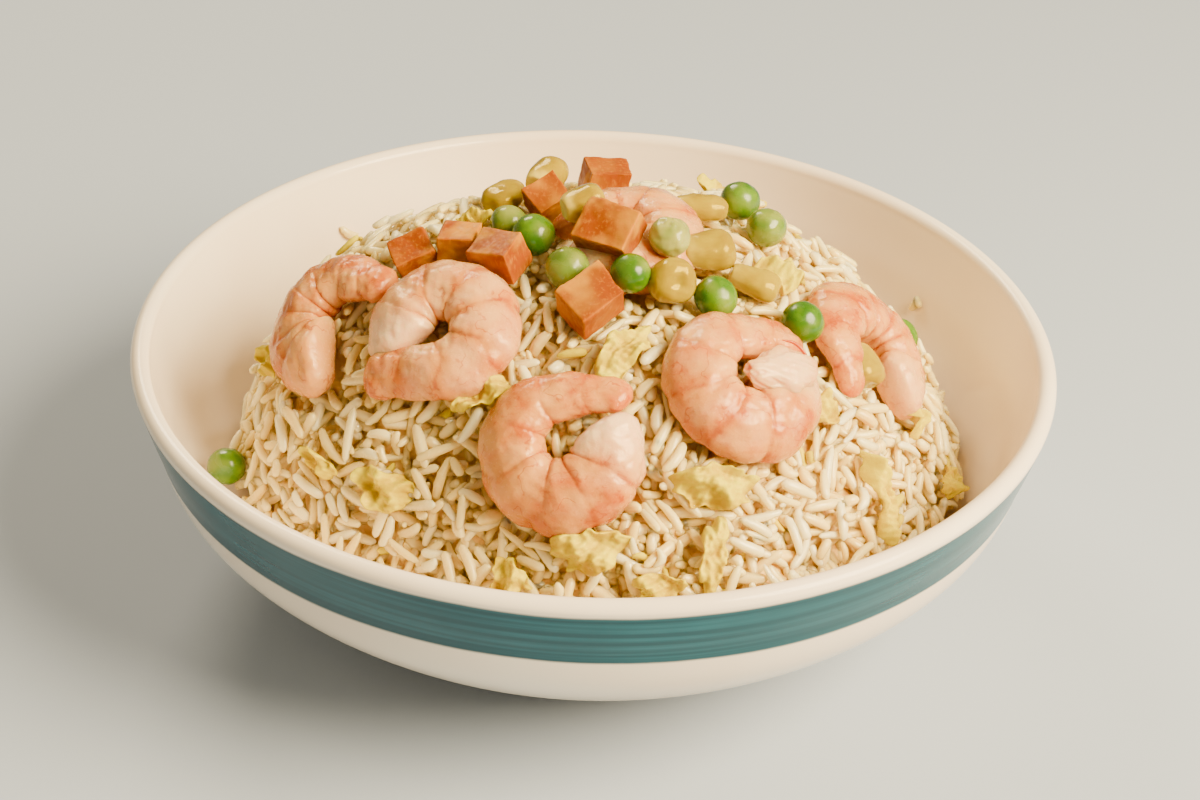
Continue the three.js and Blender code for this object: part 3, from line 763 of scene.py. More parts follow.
@dataclass(frozen=True)
class Shrimp:
    """A curled shrimp on its side.

    Fields: x, y and lift as on any topping; tilt raises the far side of the curl; head, where
    the curl starts, and sweep, how far it goes, are angles in its plane; arm is the length of
    the nearly straight tail; side is 1 for a clockwise curl; taper is how much the tail thins;
    flap is how far the head end spreads into the curl; blush is how warm the flesh is, and
    white how pale the head end.
    """

    x: float
    y: float
    lift: float
    tilt: float
    head: float
    sweep: float
    arm: float
    side: int
    size: float
    taper: float = 0.45
    flap: float = 0.0
    blush: float = 0.5
    white: float = 0.8
    rings: int = 230
    sides: int = 84

    RING = 10.6
    OUTER = 8.5
    INNER = 7.5
    THICK = 5.5
    SAG = 55.0
    SEGMENTS = (1.25, 0.9, 0.95, 1.0, 1.0, 1.05, 1.1, 1.2)

    def length(self) -> float:
        """Length of the middle line."""
        return self.RING * self.size * math.radians(self.sweep) + self.arm

    def spine(self, share: np.ndarray) -> tuple[np.ndarray, np.ndarray, np.ndarray]:
        """Middle line in the plane of the curl: an arc, then an arc of twelve times its radius.

        Args:
            share: Places along it, from 0 at the head end to 1 at the tail.

        Returns:
            The two coordinates of each place, and the heading there in radians.
        """
        ring = self.RING * self.size
        arc = ring * math.radians(self.sweep)
        travelled = share * self.length()
        polar = math.radians(self.head) - self.side * np.minimum(travelled, arc) / ring
        straight = 12 * ring
        leave = polar - self.side * math.pi / 2
        past = np.maximum(travelled - arc, 0)
        heading = leave - self.side * past / straight
        u = ring * np.cos(polar) + self.side * straight * (np.sin(leave) - np.sin(heading))
        v = ring * np.sin(polar) + self.side * straight * (np.cos(heading) - np.cos(leave))
        return u, v, heading

    def girth(self, share: np.ndarray) -> np.ndarray:
        """Share of full size: full at the front, tapering over the tail, rounded at both ends."""
        tail = 1 - self.taper * smoothstep(0.5, 1, share)
        front = 0.86 + 0.14 * smoothstep(0, 0.2, share)
        head_end = np.sqrt(np.maximum(0, 1 - np.maximum(0, 1 - share / 0.05) ** 2))
        tail_end = np.sqrt(np.maximum(0, 1 - np.maximum(0, 1 - (1 - share) / 0.06) ** 2))
        return tail * front * head_end * tail_end

    def segments(self, share: np.ndarray, around: np.ndarray, seed: int) -> tuple[np.ndarray, np.ndarray, np.ndarray]:
        """Splits the body into segments of uneven length whose borders bow back and waver.

        Args:
            share: Place along the body of each ring.
            around: Angle round the body of each side, 0 at the back.
            seed: Number that fixes their lengths.

        Returns:
            The distance to the nearest border in millimetres, the share of the way through the
            segment, and a random number from -1 to 1 for each segment.
        """
        random = np.random.default_rng(seed)
        lengths = np.array(self.SEGMENTS) * random.uniform(0.86, 1.14, len(self.SEGMENTS))
        borders = np.concatenate([[0], np.cumsum(lengths) / lengths.sum()])
        place = np.stack([share * 9 + 0 * around, np.cos(around) + 0 * share, np.sin(around) + 0 * share], -1)
        bowed = share - 0.02 * np.cos(around) ** 2 + 0.006 * waves(place, 1.1, seed)
        number = np.clip(np.searchsorted(borders, bowed) - 1, 0, len(lengths) - 1)
        through = np.clip((bowed - borders[number]) / (borders[number + 1] - borders[number]), 0, 1)
        inner = borders[1:-1]
        gap = np.abs(bowed[..., None] - inner).min(-1) * self.length()
        return gap, through, random.uniform(-1, 1, len(lengths))[number]

    def skin(self, seed: int) -> Skin:
        """Carries an oval section along the spine, with segments, folds and fine flesh grain."""
        ease = np.linspace(0, math.pi, self.rings)
        share = ((1 - np.cos(ease)) / 2 * 0.35 + ease / math.pi * 0.65)[1:-1, None]
        around = TAU * np.arange(self.sides)[None] / self.sides
        u, v, heading = self.spine(share)
        girth = self.size * self.girth(share)
        out_u, out_v = -self.side * np.sin(heading), self.side * np.cos(heading)
        back, belly = np.clip(np.cos(around), 0, 1), np.clip(-np.cos(around), 0, 1)
        front = 1 - smoothstep(0.02, 0.2, share)
        tail = smoothstep(0.8, 1.0, share)
        gap, through, uneven = self.segments(share, around, seed)
        bulge = 1 - np.abs(2 * through - 1) ** 3
        fold = np.exp(-((gap / 0.55) ** 2))
        wide = 1 + 0.036 * (bulge - 0.6) + 0.03 * (through - 0.5) + 0.012 * uneven - 0.014 * fold
        deep = 1 + (0.03 + 0.02 * belly) * (bulge - 0.6) + 0.03 * (through - 0.5) + 0.02 * uneven
        deep = deep - fold * (0.012 + 0.012 * belly)
        flap = 1 + self.flap * (1 - smoothstep(0.05, 0.35, share))
        side = np.where(np.cos(around) > 0, self.OUTER, self.INNER * flap)
        reach = side * np.cos(around) * girth * np.where(np.cos(around) > 0, wide, deep)
        rise = self.THICK * np.sign(np.sin(around)) * np.abs(np.sin(around)) ** 0.85 * girth * deep
        plan = np.stack([u + out_u * reach, v + out_v * reach, rise], -1)
        length = share * self.length()
        grain = np.stack([length * 0.22 + 0 * around, np.cos(around) * 5 + 0 * share, np.sin(around) * 5 + 0 * share], -1)
        lumps = 0.26 * waves(plan, 6.0, seed) + 0.1 * waves(plan, 2.2, seed + 50) * (1 + 0.3 * front + 0.8 * tail)
        lumps = lumps + 0.045 * waves(grain, 0.8, seed + 70) + 0.03 * waves(plan, 0.8, seed + 80)
        lumps = lumps * np.minimum(1, girth / self.size * 1.6)
        plan[..., 2] += lumps * np.sin(around)
        plan[..., 0] += lumps * np.cos(around) * out_u
        plan[..., 1] += lumps * np.cos(around) * out_v
        plan[..., 2] -= (plan[..., 0] ** 2 + plan[..., 1] ** 2) / (2 * self.SAG)
        if self.side < 0:
            plan = plan[:, ::-1]
        skin = loft(plan, plan[0].mean(0), plan[-1].mean(0))
        origin, basis = MOUND.stand(self.x, self.y)
        skin.points = origin + basis[:, 2] * self.lift + skin.points @ (basis @ turn_about(0, self.tilt)).T
        near_line = np.exp(-((gap / 1.7) ** 2))
        blush = self.blush * (0.3 + 0.35 * back + 0.45 * near_line + 0.35 * waves(plan, 6.0, seed + 95))
        blush = np.clip(blush + 0.6 * tail - 0.6 * front + 0.08 * uneven, 0, 1)
        lines = np.exp(-((gap / 0.36) ** 2)) * np.clip(0.6 + 0.9 * waves(plan, 3.0, seed + 90), 0, 1) * (0.5 + 0.5 * back)
        patchy = 0.55 * (1 - self.blush) * (1 - near_line) * bulge * (1 - tail)
        pale = self.white * front + patchy + 0.06 * waves(plan, 3.5, seed + 97)
        values = {"blush": blush, "white": np.clip(pale, 0, 1), "crease": 0.8 * lines}
        for label, grid in values.items():
            skin.values[label] = with_poles(grid[:, ::-1] if self.side < 0 else grid)
        return skin


SHRIMPS = (
    # The first shrimp's high blush and near-zero white are partly its own warmer colour and partly painted shade,
    # darkening it where it lies on the heap's shaded left.
    Shrimp(-59, -21.5, 2.8, 0, -95, 200, 12, 1, 1, flap=0.5, blush=0.9, white=0.05),
    Shrimp(-33.8, -35.4, 4, 0, 207, 299, 18, 1, 0.95, taper=0.34, flap=0.25, blush=0.5, white=0.65),
    Shrimp(-6, -61.5, 3.8, 0, 35, 296, 17, 1, 1, taper=0.52, blush=0.95, white=0.9),
    Shrimp(32.6, -46.2, 4, 0, 40, 295, 18, 1, 1, flap=0.65, blush=0.78, white=0.6),
    Shrimp(62.6, -16, 3, 0, -42, 243, 14, -1, 1.02, taper=0.62, blush=0.85, white=0.4),
    Shrimp(6, -8, 5.5, 8, 205, 285, 12, -1, 0.98, blush=0.6),
)


# ------------------------------------------------------------------ peas, carrot, sweetcorn


def ball(rings: int, sides: int) -> Skin:
    """A sphere of radius 1 with its poles on the z axis."""
    polar = math.pi * np.arange(1, rings + 1)[:, None] / (rings + 1)
    around = TAU * np.arange(sides)[None] / sides
    grid = np.stack([np.sin(polar) * np.cos(around), np.sin(polar) * np.sin(around), -np.cos(polar) + 0 * around], -1)
    return loft(grid, np.array([0, 0, -1.0]), np.array([0, 0, 1.0]))


@dataclass(frozen=True)
class Lobe:
    """A pale lump of torn flesh, narrower at one end, that lies over a shrimp."""

    perch: Perch
    size: tuple[float, float, float]
    narrow: float = 0.35

    def skin(self, seed: int) -> Skin:
        """A flattened ball, drawn in towards -x, with soft lumps and a ragged outline."""
        skin = ball(60, 90)
        unit = skin.points.copy()
        draw = 1 - self.narrow * smoothstep(0.6, -1.0, unit[:, 0])
        swell = 1 + 0.07 * waves(unit, 0.8, seed) + 0.03 * waves(unit, 0.25, seed + 1)
        skin.points = unit * swell[:, None] * np.array(self.size) / 2
        skin.points[:, 1] *= draw
        skin.points += np.array([0, 0, 0.07]) * waves(skin.points * np.array([0.4, 1, 1]), 1.1, seed + 2)[:, None]
        edge = smoothstep(0.55, 0.95, np.hypot(unit[:, 0], unit[:, 1]))
        creaseless = np.zeros(len(edge))
        skin.values = {"blush": 0.35 * edge, "white": 0.8 - 0.4 * edge, "crease": creaseless}
        return skin


@dataclass(frozen=True)
class Vein:
    """A thin dark thread on a shrimp, through places given by x, y and lift on the heap."""

    places: tuple
    radius: float = 0.42
    rings: int = 40
    sides: int = 10

    def skin(self) -> Skin:
        """A tube along a smooth line through the places, thinner towards both ends."""
        stops = [MOUND.stand(x, y) for x, y, _ in self.places]
        places = [origin + basis[:, 2] * place[2] for (origin, basis), place in zip(stops, self.places)]
        line = spline(np.array(places), self.rings - 1)
        ahead = np.gradient(line, axis=0)
        ahead /= np.linalg.norm(ahead, axis=1, keepdims=True)
        aside = np.cross(ahead, np.array([0, 0, 1.0]))
        aside /= np.linalg.norm(aside, axis=1, keepdims=True)
        above = np.cross(aside, ahead)
        around = TAU * np.arange(self.sides)[None, :, None] / self.sides
        thick = self.radius * np.sin(np.linspace(0.3, math.pi - 0.3, self.rings))[:, None, None]
        grid = line[:, None] + thick * (np.cos(around) * aside[:, None] + np.sin(around) * above[:, None])
        skin = loft(grid[:, ::-1], line[0], line[-1])
        count = len(skin.points)
        skin.values = {"blush": np.ones(count), "white": np.zeros(count), "crease": np.ones(count)}
        return skin


LOBES = (Lobe(Perch(37.6, -44.6, 8.0, 20, 0, 0), (19, 12.5, 6.4)),)
VEINS = (Vein(((37.6, -38.2, 9.3), (40, -37.8, 9.6), (42, -38.6, 9.4), (43.6, -40.4, 8.8))),)


class PeaKind(Enum):
    """How a pea looks: how pale its skin is, and how deep it is wrinkled."""

    FRESH = (0.05, 0.035)
    LIGHT = (0.34, 0.06)
    PALE = (0.95, 0.16)


@dataclass(frozen=True)
class Pea:
    """A green pea on the heap, or held against the wall."""

    perch: Perch
    radius: float
    kind: PeaKind = PeaKind.FRESH
    rings: int = 30
    sides: int = 44

    def skin(self, seed: int) -> Skin:
        """A sphere, a little flat, with a seam dimple and the wrinkles of its kind."""
        pale, wrinkle = self.kind.value
        flat = np.array([1, 1, 0.94])
        skin = ball(self.rings, self.sides)
        unit = skin.points
        random = np.random.default_rng(seed)
        seam = random.normal(size=3)
        seam /= np.linalg.norm(seam)
        dimple = 0.05 * np.exp(-((1 - unit @ seam) / 0.03))
        swell = 1 + 0.012 * waves(unit, 1.2, seed) + wrinkle * 0.2 * waves(unit, 0.35, seed + 9) - dimple
        skin.points = unit * flat * (self.radius * swell)[:, None]
        skin.values["pale"] = np.clip(pale + 0.15 * waves(unit, 0.8, seed + 3), 0, 1)
        return skin


PEAS = (
    Pea(Perch(-21, -3, 3.6), 4.3, PeaKind.LIGHT),
    Pea(Perch(-14.8, -11, 5), 5.1),
    Pea(Perch(-6.7, -23.5, 4.2), 5.1, PeaKind.LIGHT),
    Pea(Perch(7.2, -27.4, 6.4), 4.7),
    Pea(Perch(15.2, -18, 10.4), 4.8, PeaKind.PALE),
    Pea(Perch(32.7, 18.2, 3.6), 4.9),
    Pea(Perch(38.5, 7.4, 3.4), 4.8, PeaKind.LIGHT),
    Pea(Perch(25.8, -28.2, 4), 5.0),
    Pea(Perch(43.9, -27.5, 6), 5.0),
    Pea(Perch(70.5, -0.5, 2.6), 4.8),
)
WALL_PEA = ((-86.0, -24.6, 39.6), 4.6)


@dataclass(frozen=True)
class Dice:
    """A diced piece of carrot."""

    perch: Perch
    size: tuple[float, float, float]
    rounding: float = 0.4
    askew: float = 0.11
    steps: int = 26

    def faces(self) -> tuple[np.ndarray, np.ndarray]:
        """Corners and quads over the six faces of a cube from -1 to 1, joined at its edges."""
        line = np.sin(np.linspace(-0.5, 0.5, self.steps + 1) * math.pi)
        a, b = np.meshgrid(line, line, indexing="ij")
        one = np.ones_like(a)
        sheets, quads = [], []
        index = np.arange(a.size).reshape(a.shape)
        cell = np.stack([index[:-1, :-1], index[1:, :-1], index[1:, 1:], index[:-1, 1:]], -1).reshape(-1, 4)
        for axis in range(3):
            for sign in (1, -1):
                sheet = np.stack([sign * one, sign * a, b], -1)
                quads.append(cell + len(sheets) * a.size)
                sheets.append(np.roll(sheet, axis, -1).reshape(-1, 3))
        points = np.concatenate(sheets)
        kept, merged = np.unique(np.round(points, 6), axis=0, return_inverse=True)
        return kept, merged.reshape(-1)[np.concatenate(quads)]

    def skin(self, seed: int) -> Skin:
        """A box whose edges are rounded by pushing out from a smaller box, cut a little untrue."""
        unit, quads = self.faces()
        half = np.array(self.size) / 2
        inner = np.clip(unit * half, -(half - self.rounding), half - self.rounding)
        out = unit * half - inner
        out /= np.maximum(np.linalg.norm(out, axis=1, keepdims=True), 1e-9)
        points = inner + out * self.rounding
        nearest = np.sort(1 - np.abs(unit), axis=1)[:, 1]
        edge = np.exp(-nearest / 0.06)
        untrue = 0.22 * waves(points, 9, seed) + 0.07 * waves(points, 2.2, seed + 7)
        points = points + out * (untrue + 0.03 * waves(points, 0.7, seed + 8))[:, None]
        lean = np.random.default_rng(seed).uniform(-self.askew, self.askew, (3, 3))
        np.fill_diagonal(lean, 0)
        points = points @ (np.eye(3) + lean) * (1 + 0.5 * lean[0, 1] * unit[:, [1]])
        skin = Skin(points, quads, np.zeros((0, 3), int))
        skin.values["edge"] = 0.35 * edge
        return skin


CARROTS = (
    Dice(Perch(-42, -10.8, 2.6, 24, 16, 6), (9.5, 8, 5.8)),
    Dice(Perch(-31.8, -11.3, 3.2, -12, 0, -8), (8.5, 8, 7.5)),
    Dice(Perch(-22.2, -19, 4.8, -28, 12, 8), (11, 9, 8.5)),
    Dice(Perch(-12.3, 7.3, 4.4, 30, 25, 20), (9, 8, 8)),
    Dice(Perch(1.1, 20.5, 3.6, 14, 8, -6), (10.5, 8.5, 8.5)),
    Dice(Perch(2.4, -18, 11, -28, 30, 6), (13, 10.5, 7.5)),
    Dice(Perch(-1, -34, 4, 40, 8, 6), (12.5, 11, 7)),
)


@dataclass(frozen=True)
class Kernel:
    """A sweetcorn kernel: a blunt wedge with its crown at +x and its cut end at -x."""

    perch: Perch
    size: tuple[float, float, float]
    pale: float = 0.25
    rings: int = 34
    sides: int = 40

    def skin(self, seed: int) -> Skin:
        """Carries an oval along the kernel: narrow at the cut, widest near a dimpled crown."""
        length, width, thick = self.size
        outline = np.array([
            [0.4, -0.48], [0.6, -0.46], [0.84, -0.26], [0.97, 0.04], [1.0, 0.22], [0.84, 0.4], [0.5, 0.49], [0.2, 0.47],
        ])
        curve = spline(outline, self.rings - 1)
        around = TAU * np.arange(self.sides)[None] / self.sides
        radius, along = curve[:, :1], curve[:, 1:]
        squarish = (np.abs(np.cos(around)) ** 2.3 + np.abs(np.sin(around)) ** 2.3) ** (-1 / 2.3)
        rings = np.stack([
            length * (along + 0 * around),
            width / 2 * radius * squarish * np.cos(around),
            thick / 2 * radius * squarish * np.sin(around),
        ], -1)
        skin = loft(rings, np.array([-0.45 * length, 0, 0]), np.array([0.46 * length, 0, 0]))
        lumps = 0.16 * waves(skin.points, 4.5, seed) + 0.05 * waves(skin.points, 1.2, seed + 5)
        outward = skin.points / np.linalg.norm(skin.points, axis=1, keepdims=True)
        share = skin.points[:, 0] / length + 0.5
        skin.points = skin.points + outward * lumps[:, None]
        near_cut = 1 - smoothstep(0.02, 0.34, share + 0.06 * waves(skin.points, 2.0, seed))
        skin.values["cut"] = self.pale * near_cut
        return skin


KERNELS = (
    Kernel(Perch(-22.6, 12, 3, 240, 0, -10), (11, 9, 7)),
    Kernel(Perch(-13, 19, 5.5, 60, 10, 10), (11, 8.4, 8), 0.95),
    Kernel(Perch(-3.9, -7.4, 11, 25, 0, 5), (10, 8.6, 8.6), 0.95),
    Kernel(Perch(23.6, 10.9, 3.1, 4), (12.4, 7.2, 6.2)),
    Kernel(Perch(24.2, -13.2, 5.2, 18, 0, 4), (12.6, 10, 8.4)),
    Kernel(Perch(35.2, -16.4, 2.2, -8), (12, 8, 6.4)),
    Kernel(Perch(16, -26.3, 4.6, -75, 0, 35), (11, 11.2, 10)),
    Kernel(Perch(60.5, -22.5, 2, -60), (10.5, 10, 7.6)),
)


# ------------------------------------------------------------------ egg


@dataclass(frozen=True)
class Flake:
    """A torn flake of egg: a soft sheet, arched, rippled and curled up on one side."""

    perch: Perch
    length: float
    width: float
    fold: float
    ripple: float
    thick: float = 1.7
    along: int = 64
    across: int = 40

    def skin(self, seed: int) -> Skin:
        """Folds a sheet with a torn round outline, and closes its two faces at a soft edge."""
        random = np.random.default_rng(seed)
        phase, side = random.uniform(0, TAU, 2)
        lines = (np.linspace(-1, 1, count + 1) for count in (self.along, self.across))
        s, t = np.meshgrid(*lines, indexing="ij")
        u, v = s * np.sqrt(1 - t * t / 2), t * np.sqrt(1 - s * s / 2)
        out, angle = np.hypot(u, v), np.arctan2(v, u)
        torn = np.ones_like(s)
        for lobes in (2, 3, 5, 8, 13):
            torn += 0.34 / lobes**0.75 * random.uniform(0.3, 1) * np.sin(lobes * angle + random.uniform(0, TAU))
        torn = 1 + (torn - 1) * out
        x, y = u * torn * self.length / 2, v * torn * self.width / 2
        flat = np.stack([x, y, 0 * x], -1)
        ridges = np.cos(TAU * (y / 4.2 + 0.3 * np.sin(x / 3.0 + phase)) + phase)
        crumple = 0.1 * ridges + 0.62 * waves(flat, 3.8, seed + 2) + 0.3 * waves(flat, 1.4, seed + 3)
        arch = self.ripple * np.sin(4.4 * s + 2.2 * t + phase) - self.fold * s * s + self.fold / 2
        curl = 1.8 * smoothstep(0.4, 1.0, out) * np.clip(np.cos(angle - side), 0, 1)
        height = arch + crumple + curl
        body = self.thick / 2 * np.sqrt(1.02 - out**5) * (1 + 0.2 * waves(flat, 1.6, seed + 4))
        top, under = np.stack([x, y, height + body], -1), np.stack([x, y, height - body], -1)
        grid = np.arange(s.size).reshape(s.shape)
        cell = np.stack([grid[:-1, :-1], grid[1:, :-1], grid[1:, 1:], grid[:-1, 1:]], -1).reshape(-1, 4)
        border = np.concatenate([grid[:-1, 0], grid[-1, :-1], grid[:0:-1, -1], grid[0, :0:-1]])
        ahead = np.roll(border, -1)
        edge = np.stack([border, border + s.size, ahead + s.size, ahead], -1)
        points = np.concatenate([top.reshape(-1, 3), under.reshape(-1, 3)])
        skin = Skin(points, np.concatenate([cell, cell[:, ::-1] + s.size, edge]), np.zeros((0, 3), int))
        # Painted light and shade: higher parts of the sheet get the pale fold colour and lower ones the darker hollow
        # colour.
        fold = np.clip(0.55 + 0.5 * crumple + 0.2 * curl, 0, 1)
        skin.values["fold"] = np.concatenate([fold.ravel(), fold.ravel()])
        return skin


FLAKES = (
    Flake(Perch(-45.3, -54.8, 1.4, -10), 15, 9, 2.2, 1.1),
    Flake(Perch(-60.8, -44.2, 1.2, -25), 10, 5, 0.8, 0.7),
    Flake(Perch(0.9, -75, 1.6, 25), 16, 10, 2.6, 1.3),
    Flake(Perch(-16.1, -74, 1.4, -30), 10, 8, 1.6, 1),
    Flake(Perch(-24.5, -48.5, 1.2, 15), 13, 9, 1.6, 1.2),
    Flake(Perch(6.1, -46, 1.6, 60), 17, 9, 2.4, 1.5),
    Flake(Perch(27, -66.5, 1.8, 12), 18, 10, 2.6, 1.4),
    Flake(Perch(27.1, -75.6, 1.4, 80), 15, 7, 2, 1),
    Flake(Perch(16, -80, 1.2, 10), 12, 6, 1.2, 0.8),
    Flake(Perch(64.6, -49.5, 1.6, -60), 21, 6, 4, 0.8),
    Flake(Perch(51.3, -41.7, 1.3, 20), 10, 7, 1.4, 1),
    Flake(Perch(41.5, -10, 1.6, 40), 15, 10, 1.8, 1.5),
    Flake(Perch(73.2, -20.1, 1.3, -30), 12, 6, 1.4, 1),
    Flake(Perch(84.6, -22.3, 1.3, 70), 9, 7, 1.2, 0.8),
    Flake(Perch(-75.5, -12.9, 1.2, 80), 9, 6, 1, 0.8),
    Flake(Perch(-28.5, 3, 1.3, 20), 11, 6, 1.2, 1),
    Flake(Perch(30, 44, 1.3, 35), 14, 8, 1.8, 1.2),
    Flake(Perch(-30, 40, 1.3, -40), 12, 8, 1.6, 1.1),
)


# ------------------------------------------------------------------ rice


class HeapField:
    """A map of what lies on the heap: how high it has grown, and what hangs over it.

    The map is an octahedron unfolded to a square, so that its cells are of like size, about
    half a millimetre. Heights are from the mound's surface, along its normal.
    """

    def __init__(self, cells: int, floor: float) -> None:
        """Lays the map over the mound, with everything grown to one level."""
        self.cells = cells
        line = (np.arange(cells) + 0.5) / cells * 2 - 1
        u, v = np.meshgrid(line, line, indexing="ij")
        x, y = (u + v) / 2, (u - v) / 2
        ray = np.stack([x, y, 1 - np.abs(x) - np.abs(y)], -1)
        self.points = MOUND.surface(ray / np.linalg.norm(ray, axis=-1, keepdims=True))
        steps = np.gradient(self.points, axis=(0, 1))
        across = np.cross(steps[1], steps[0])
        self.area = np.linalg.norm(across, axis=-1)
        self.normals = across / np.maximum(self.area, 1e-9)[..., None]
        self.relief = MOUND.relief(self.points)
        self.height = floor + self.relief
        self.ceiling = np.full((cells, cells), np.inf)

    def cell(self, points: np.ndarray) -> tuple[np.ndarray, np.ndarray]:
        """Row and column of the cells that points stand over."""
        ray = MOUND.toward(points)
        ray = ray / np.abs(ray).sum(-1, keepdims=True)
        u, v = ray[..., 0] + ray[..., 1], ray[..., 0] - ray[..., 1]
        last = self.cells - 1
        row = np.clip(((u + 1) / 2 * self.cells).astype(int), 0, last)
        return row, np.clip(((v + 1) / 2 * self.cells).astype(int), 0, last)

    def locate(self, points: np.ndarray) -> tuple[tuple[np.ndarray, np.ndarray], np.ndarray]:
        """Cell of each point, dropped along the normal, and its height from the surface."""
        cell = self.cell(points)
        for _ in range(2):
            height = ((points - self.points[cell]) * self.normals[cell]).sum(-1)
            cell = self.cell(points - self.normals[cell] * height[..., None])
        height = ((points - self.points[cell]) * self.normals[cell]).sum(-1)
        return cell, height

    def cover(self, points: np.ndarray) -> None:
        """Hangs a topping over the map: under it the ceiling comes down to its lowest point."""
        cell, height = self.locate(points)
        low = np.full((self.cells, self.cells), np.inf)
        np.minimum.at(low, cell, height)
        for axis in (0, 1):
            low = np.minimum(low, np.minimum(np.roll(low, 1, axis), np.roll(low, -1, axis)))
        self.ceiling = np.minimum(self.ceiling, low)


@dataclass
class GrainPile:
    """Grains set one by one on the heap: some lie on those below, some stand stuck in it."""

    length: tuple[float, float] = (8.8, 1.6)
    radius: tuple[float, float] = (1.22, 0.16)
    short: tuple[float, float] = (0.18, 0.58)
    floor: float = -4.6
    limit: float = 1.5
    sink: float = 1.0
    stuck: float = 0.42
    stuck_lean: tuple[float, float] = (0.3, 1.2)
    poke: tuple[float, float] = (0.3, 1.9)
    steepest: float = 0.8
    choices: int = 6
    tries: int = 5
    samples: tuple[int, int] = (15, 5)
    clump: float = 7.0
    stray: float = 1.0
    air: float = 0.15
    wall_gap: float = 1.2
    wobble: float = 0.12

    def drop(self, heap: HeapField, bowl: Bowl, count: int, seed: int) -> dict[str, np.ndarray]:
        """Sets grains until enough have found a place.

        Each picks the lowest of a few random spots and a direction like its neighbours'. One
        that would rise too high, cut into a topping or leave the bowl is set elsewhere.

        Args:
            heap: The map, which grows with each grain.
            bowl: The bowl that they stay inside.
            count: How many grains.
            seed: Number that fixes the random choices.

        Returns:
            For each grain its middle, axis, upward direction, half length, radius and depth.
        """
        random = np.random.default_rng(seed)
        weight = np.where(self.open_cells(heap, bowl), heap.area, 0).ravel()
        odds = np.cumsum(weight / weight.sum())
        t = np.linspace(-1, 1, self.samples[0])[:, None]
        s = np.linspace(-0.9, 0.9, self.samples[1])[None]
        section = np.sqrt(np.maximum(0, 1 - np.abs(t) ** 3.5)) * np.sqrt(1 - s * s)
        ways = np.stack([waves(heap.points, self.clump, seed + k, 1) for k in range(3)], -1)
        laid: list[tuple] = []
        for _ in range(self.tries * count):
            if len(laid) == count:
                break
            spots = np.searchsorted(odds, random.random(self.choices))
            spots = np.unravel_index(np.minimum(spots, odds.size - 1), heap.height.shape)
            best = int(np.argmin((heap.height - heap.relief)[spots]))
            cell = (spots[0][best], spots[1][best])
            half = 0.5 * random.normal(*self.length) * (self.short[1] if random.random() < self.short[0] else 1)
            radius = random.normal(*self.radius)
            origin, normal = heap.points[cell], heap.normals[cell]
            side = np.cross(normal, ways[cell] + random.normal(0, self.stray, 3))
            side /= np.linalg.norm(side)
            axis = np.cross(side, normal)
            stuck = random.random() < self.stuck
            lean = random.uniform(*self.stuck_lean) if stuck else 0.0
            flat = origin + t[..., None] * half * math.cos(lean) * axis + s[..., None] * radius * side
            under, _ = heap.locate(flat + normal * heap.height[cell])
            if stuck:
                middle = heap.height[cell] + random.uniform(*self.poke) - half * math.sin(lean)
            else:
                rest = self.rest(heap.height[under] + section * radius, t * half + 0 * s, random)
                if rest is None:
                    continue
                lean, middle = rest
            top = middle + math.sin(lean) * t * half + section * radius * math.cos(lean)
            too_high = top.max() > heap.relief[cell] + self.limit
            if too_high or (top > heap.ceiling[under] - self.air).any():
                continue
            along = math.cos(lean) * axis + math.sin(lean) * normal
            centre = origin + normal * middle
            tips = centre + np.array([[-half], [half]]) * along
            if (np.hypot(tips[:, 0], tips[:, 1]) > bowl.inner_radius(tips[:, 2]) - radius).any():
                continue
            np.maximum.at(heap.height, under, top)
            depth = heap.relief[cell] - middle
            laid.append((centre, along, np.cross(along, side), half, radius, depth))
        LOG.info("%d grains laid", len(laid))
        names = ("centre", "axis", "up", "half", "radius", "depth")
        return {name: np.array([grain[k] for grain in laid]) for k, name in enumerate(names)}

    def open_cells(self, heap: HeapField, bowl: Bowl) -> np.ndarray:
        """Cells of the map that lie inside the bowl and aren't deep under a topping."""
        spot = heap.points
        wall = bowl.inner_radius(spot[..., 2]) - self.wall_gap
        inside = np.hypot(spot[..., 0], spot[..., 1]) < wall
        return inside & (heap.ceiling > -1.0)

    def rest(self, need: np.ndarray, along: np.ndarray, random: np.random.Generator) -> tuple[float, float] | None:
        """Lean and height at which a straight grain rests on what is under its two halves.

        Args:
            need: Height that each sample of the grain's middle line has to be at, at least.
            along: Distance of each sample from the middle.
            random: Source of a little extra lean.

        Returns:
            Its lean in radians and its middle's height, or nothing if it would stand too steep.
        """
        first = np.argmax(np.where(along < 0, need, -np.inf))
        second = np.argmax(np.where(along > 0, need, -np.inf))
        slope = (need.flat[second] - need.flat[first]) / (along.flat[second] - along.flat[first])
        slope += random.normal(0, self.wobble)
        if abs(slope) > self.steepest:
            return None
        return math.atan(slope), float((need - slope * along).max()) - self.sink


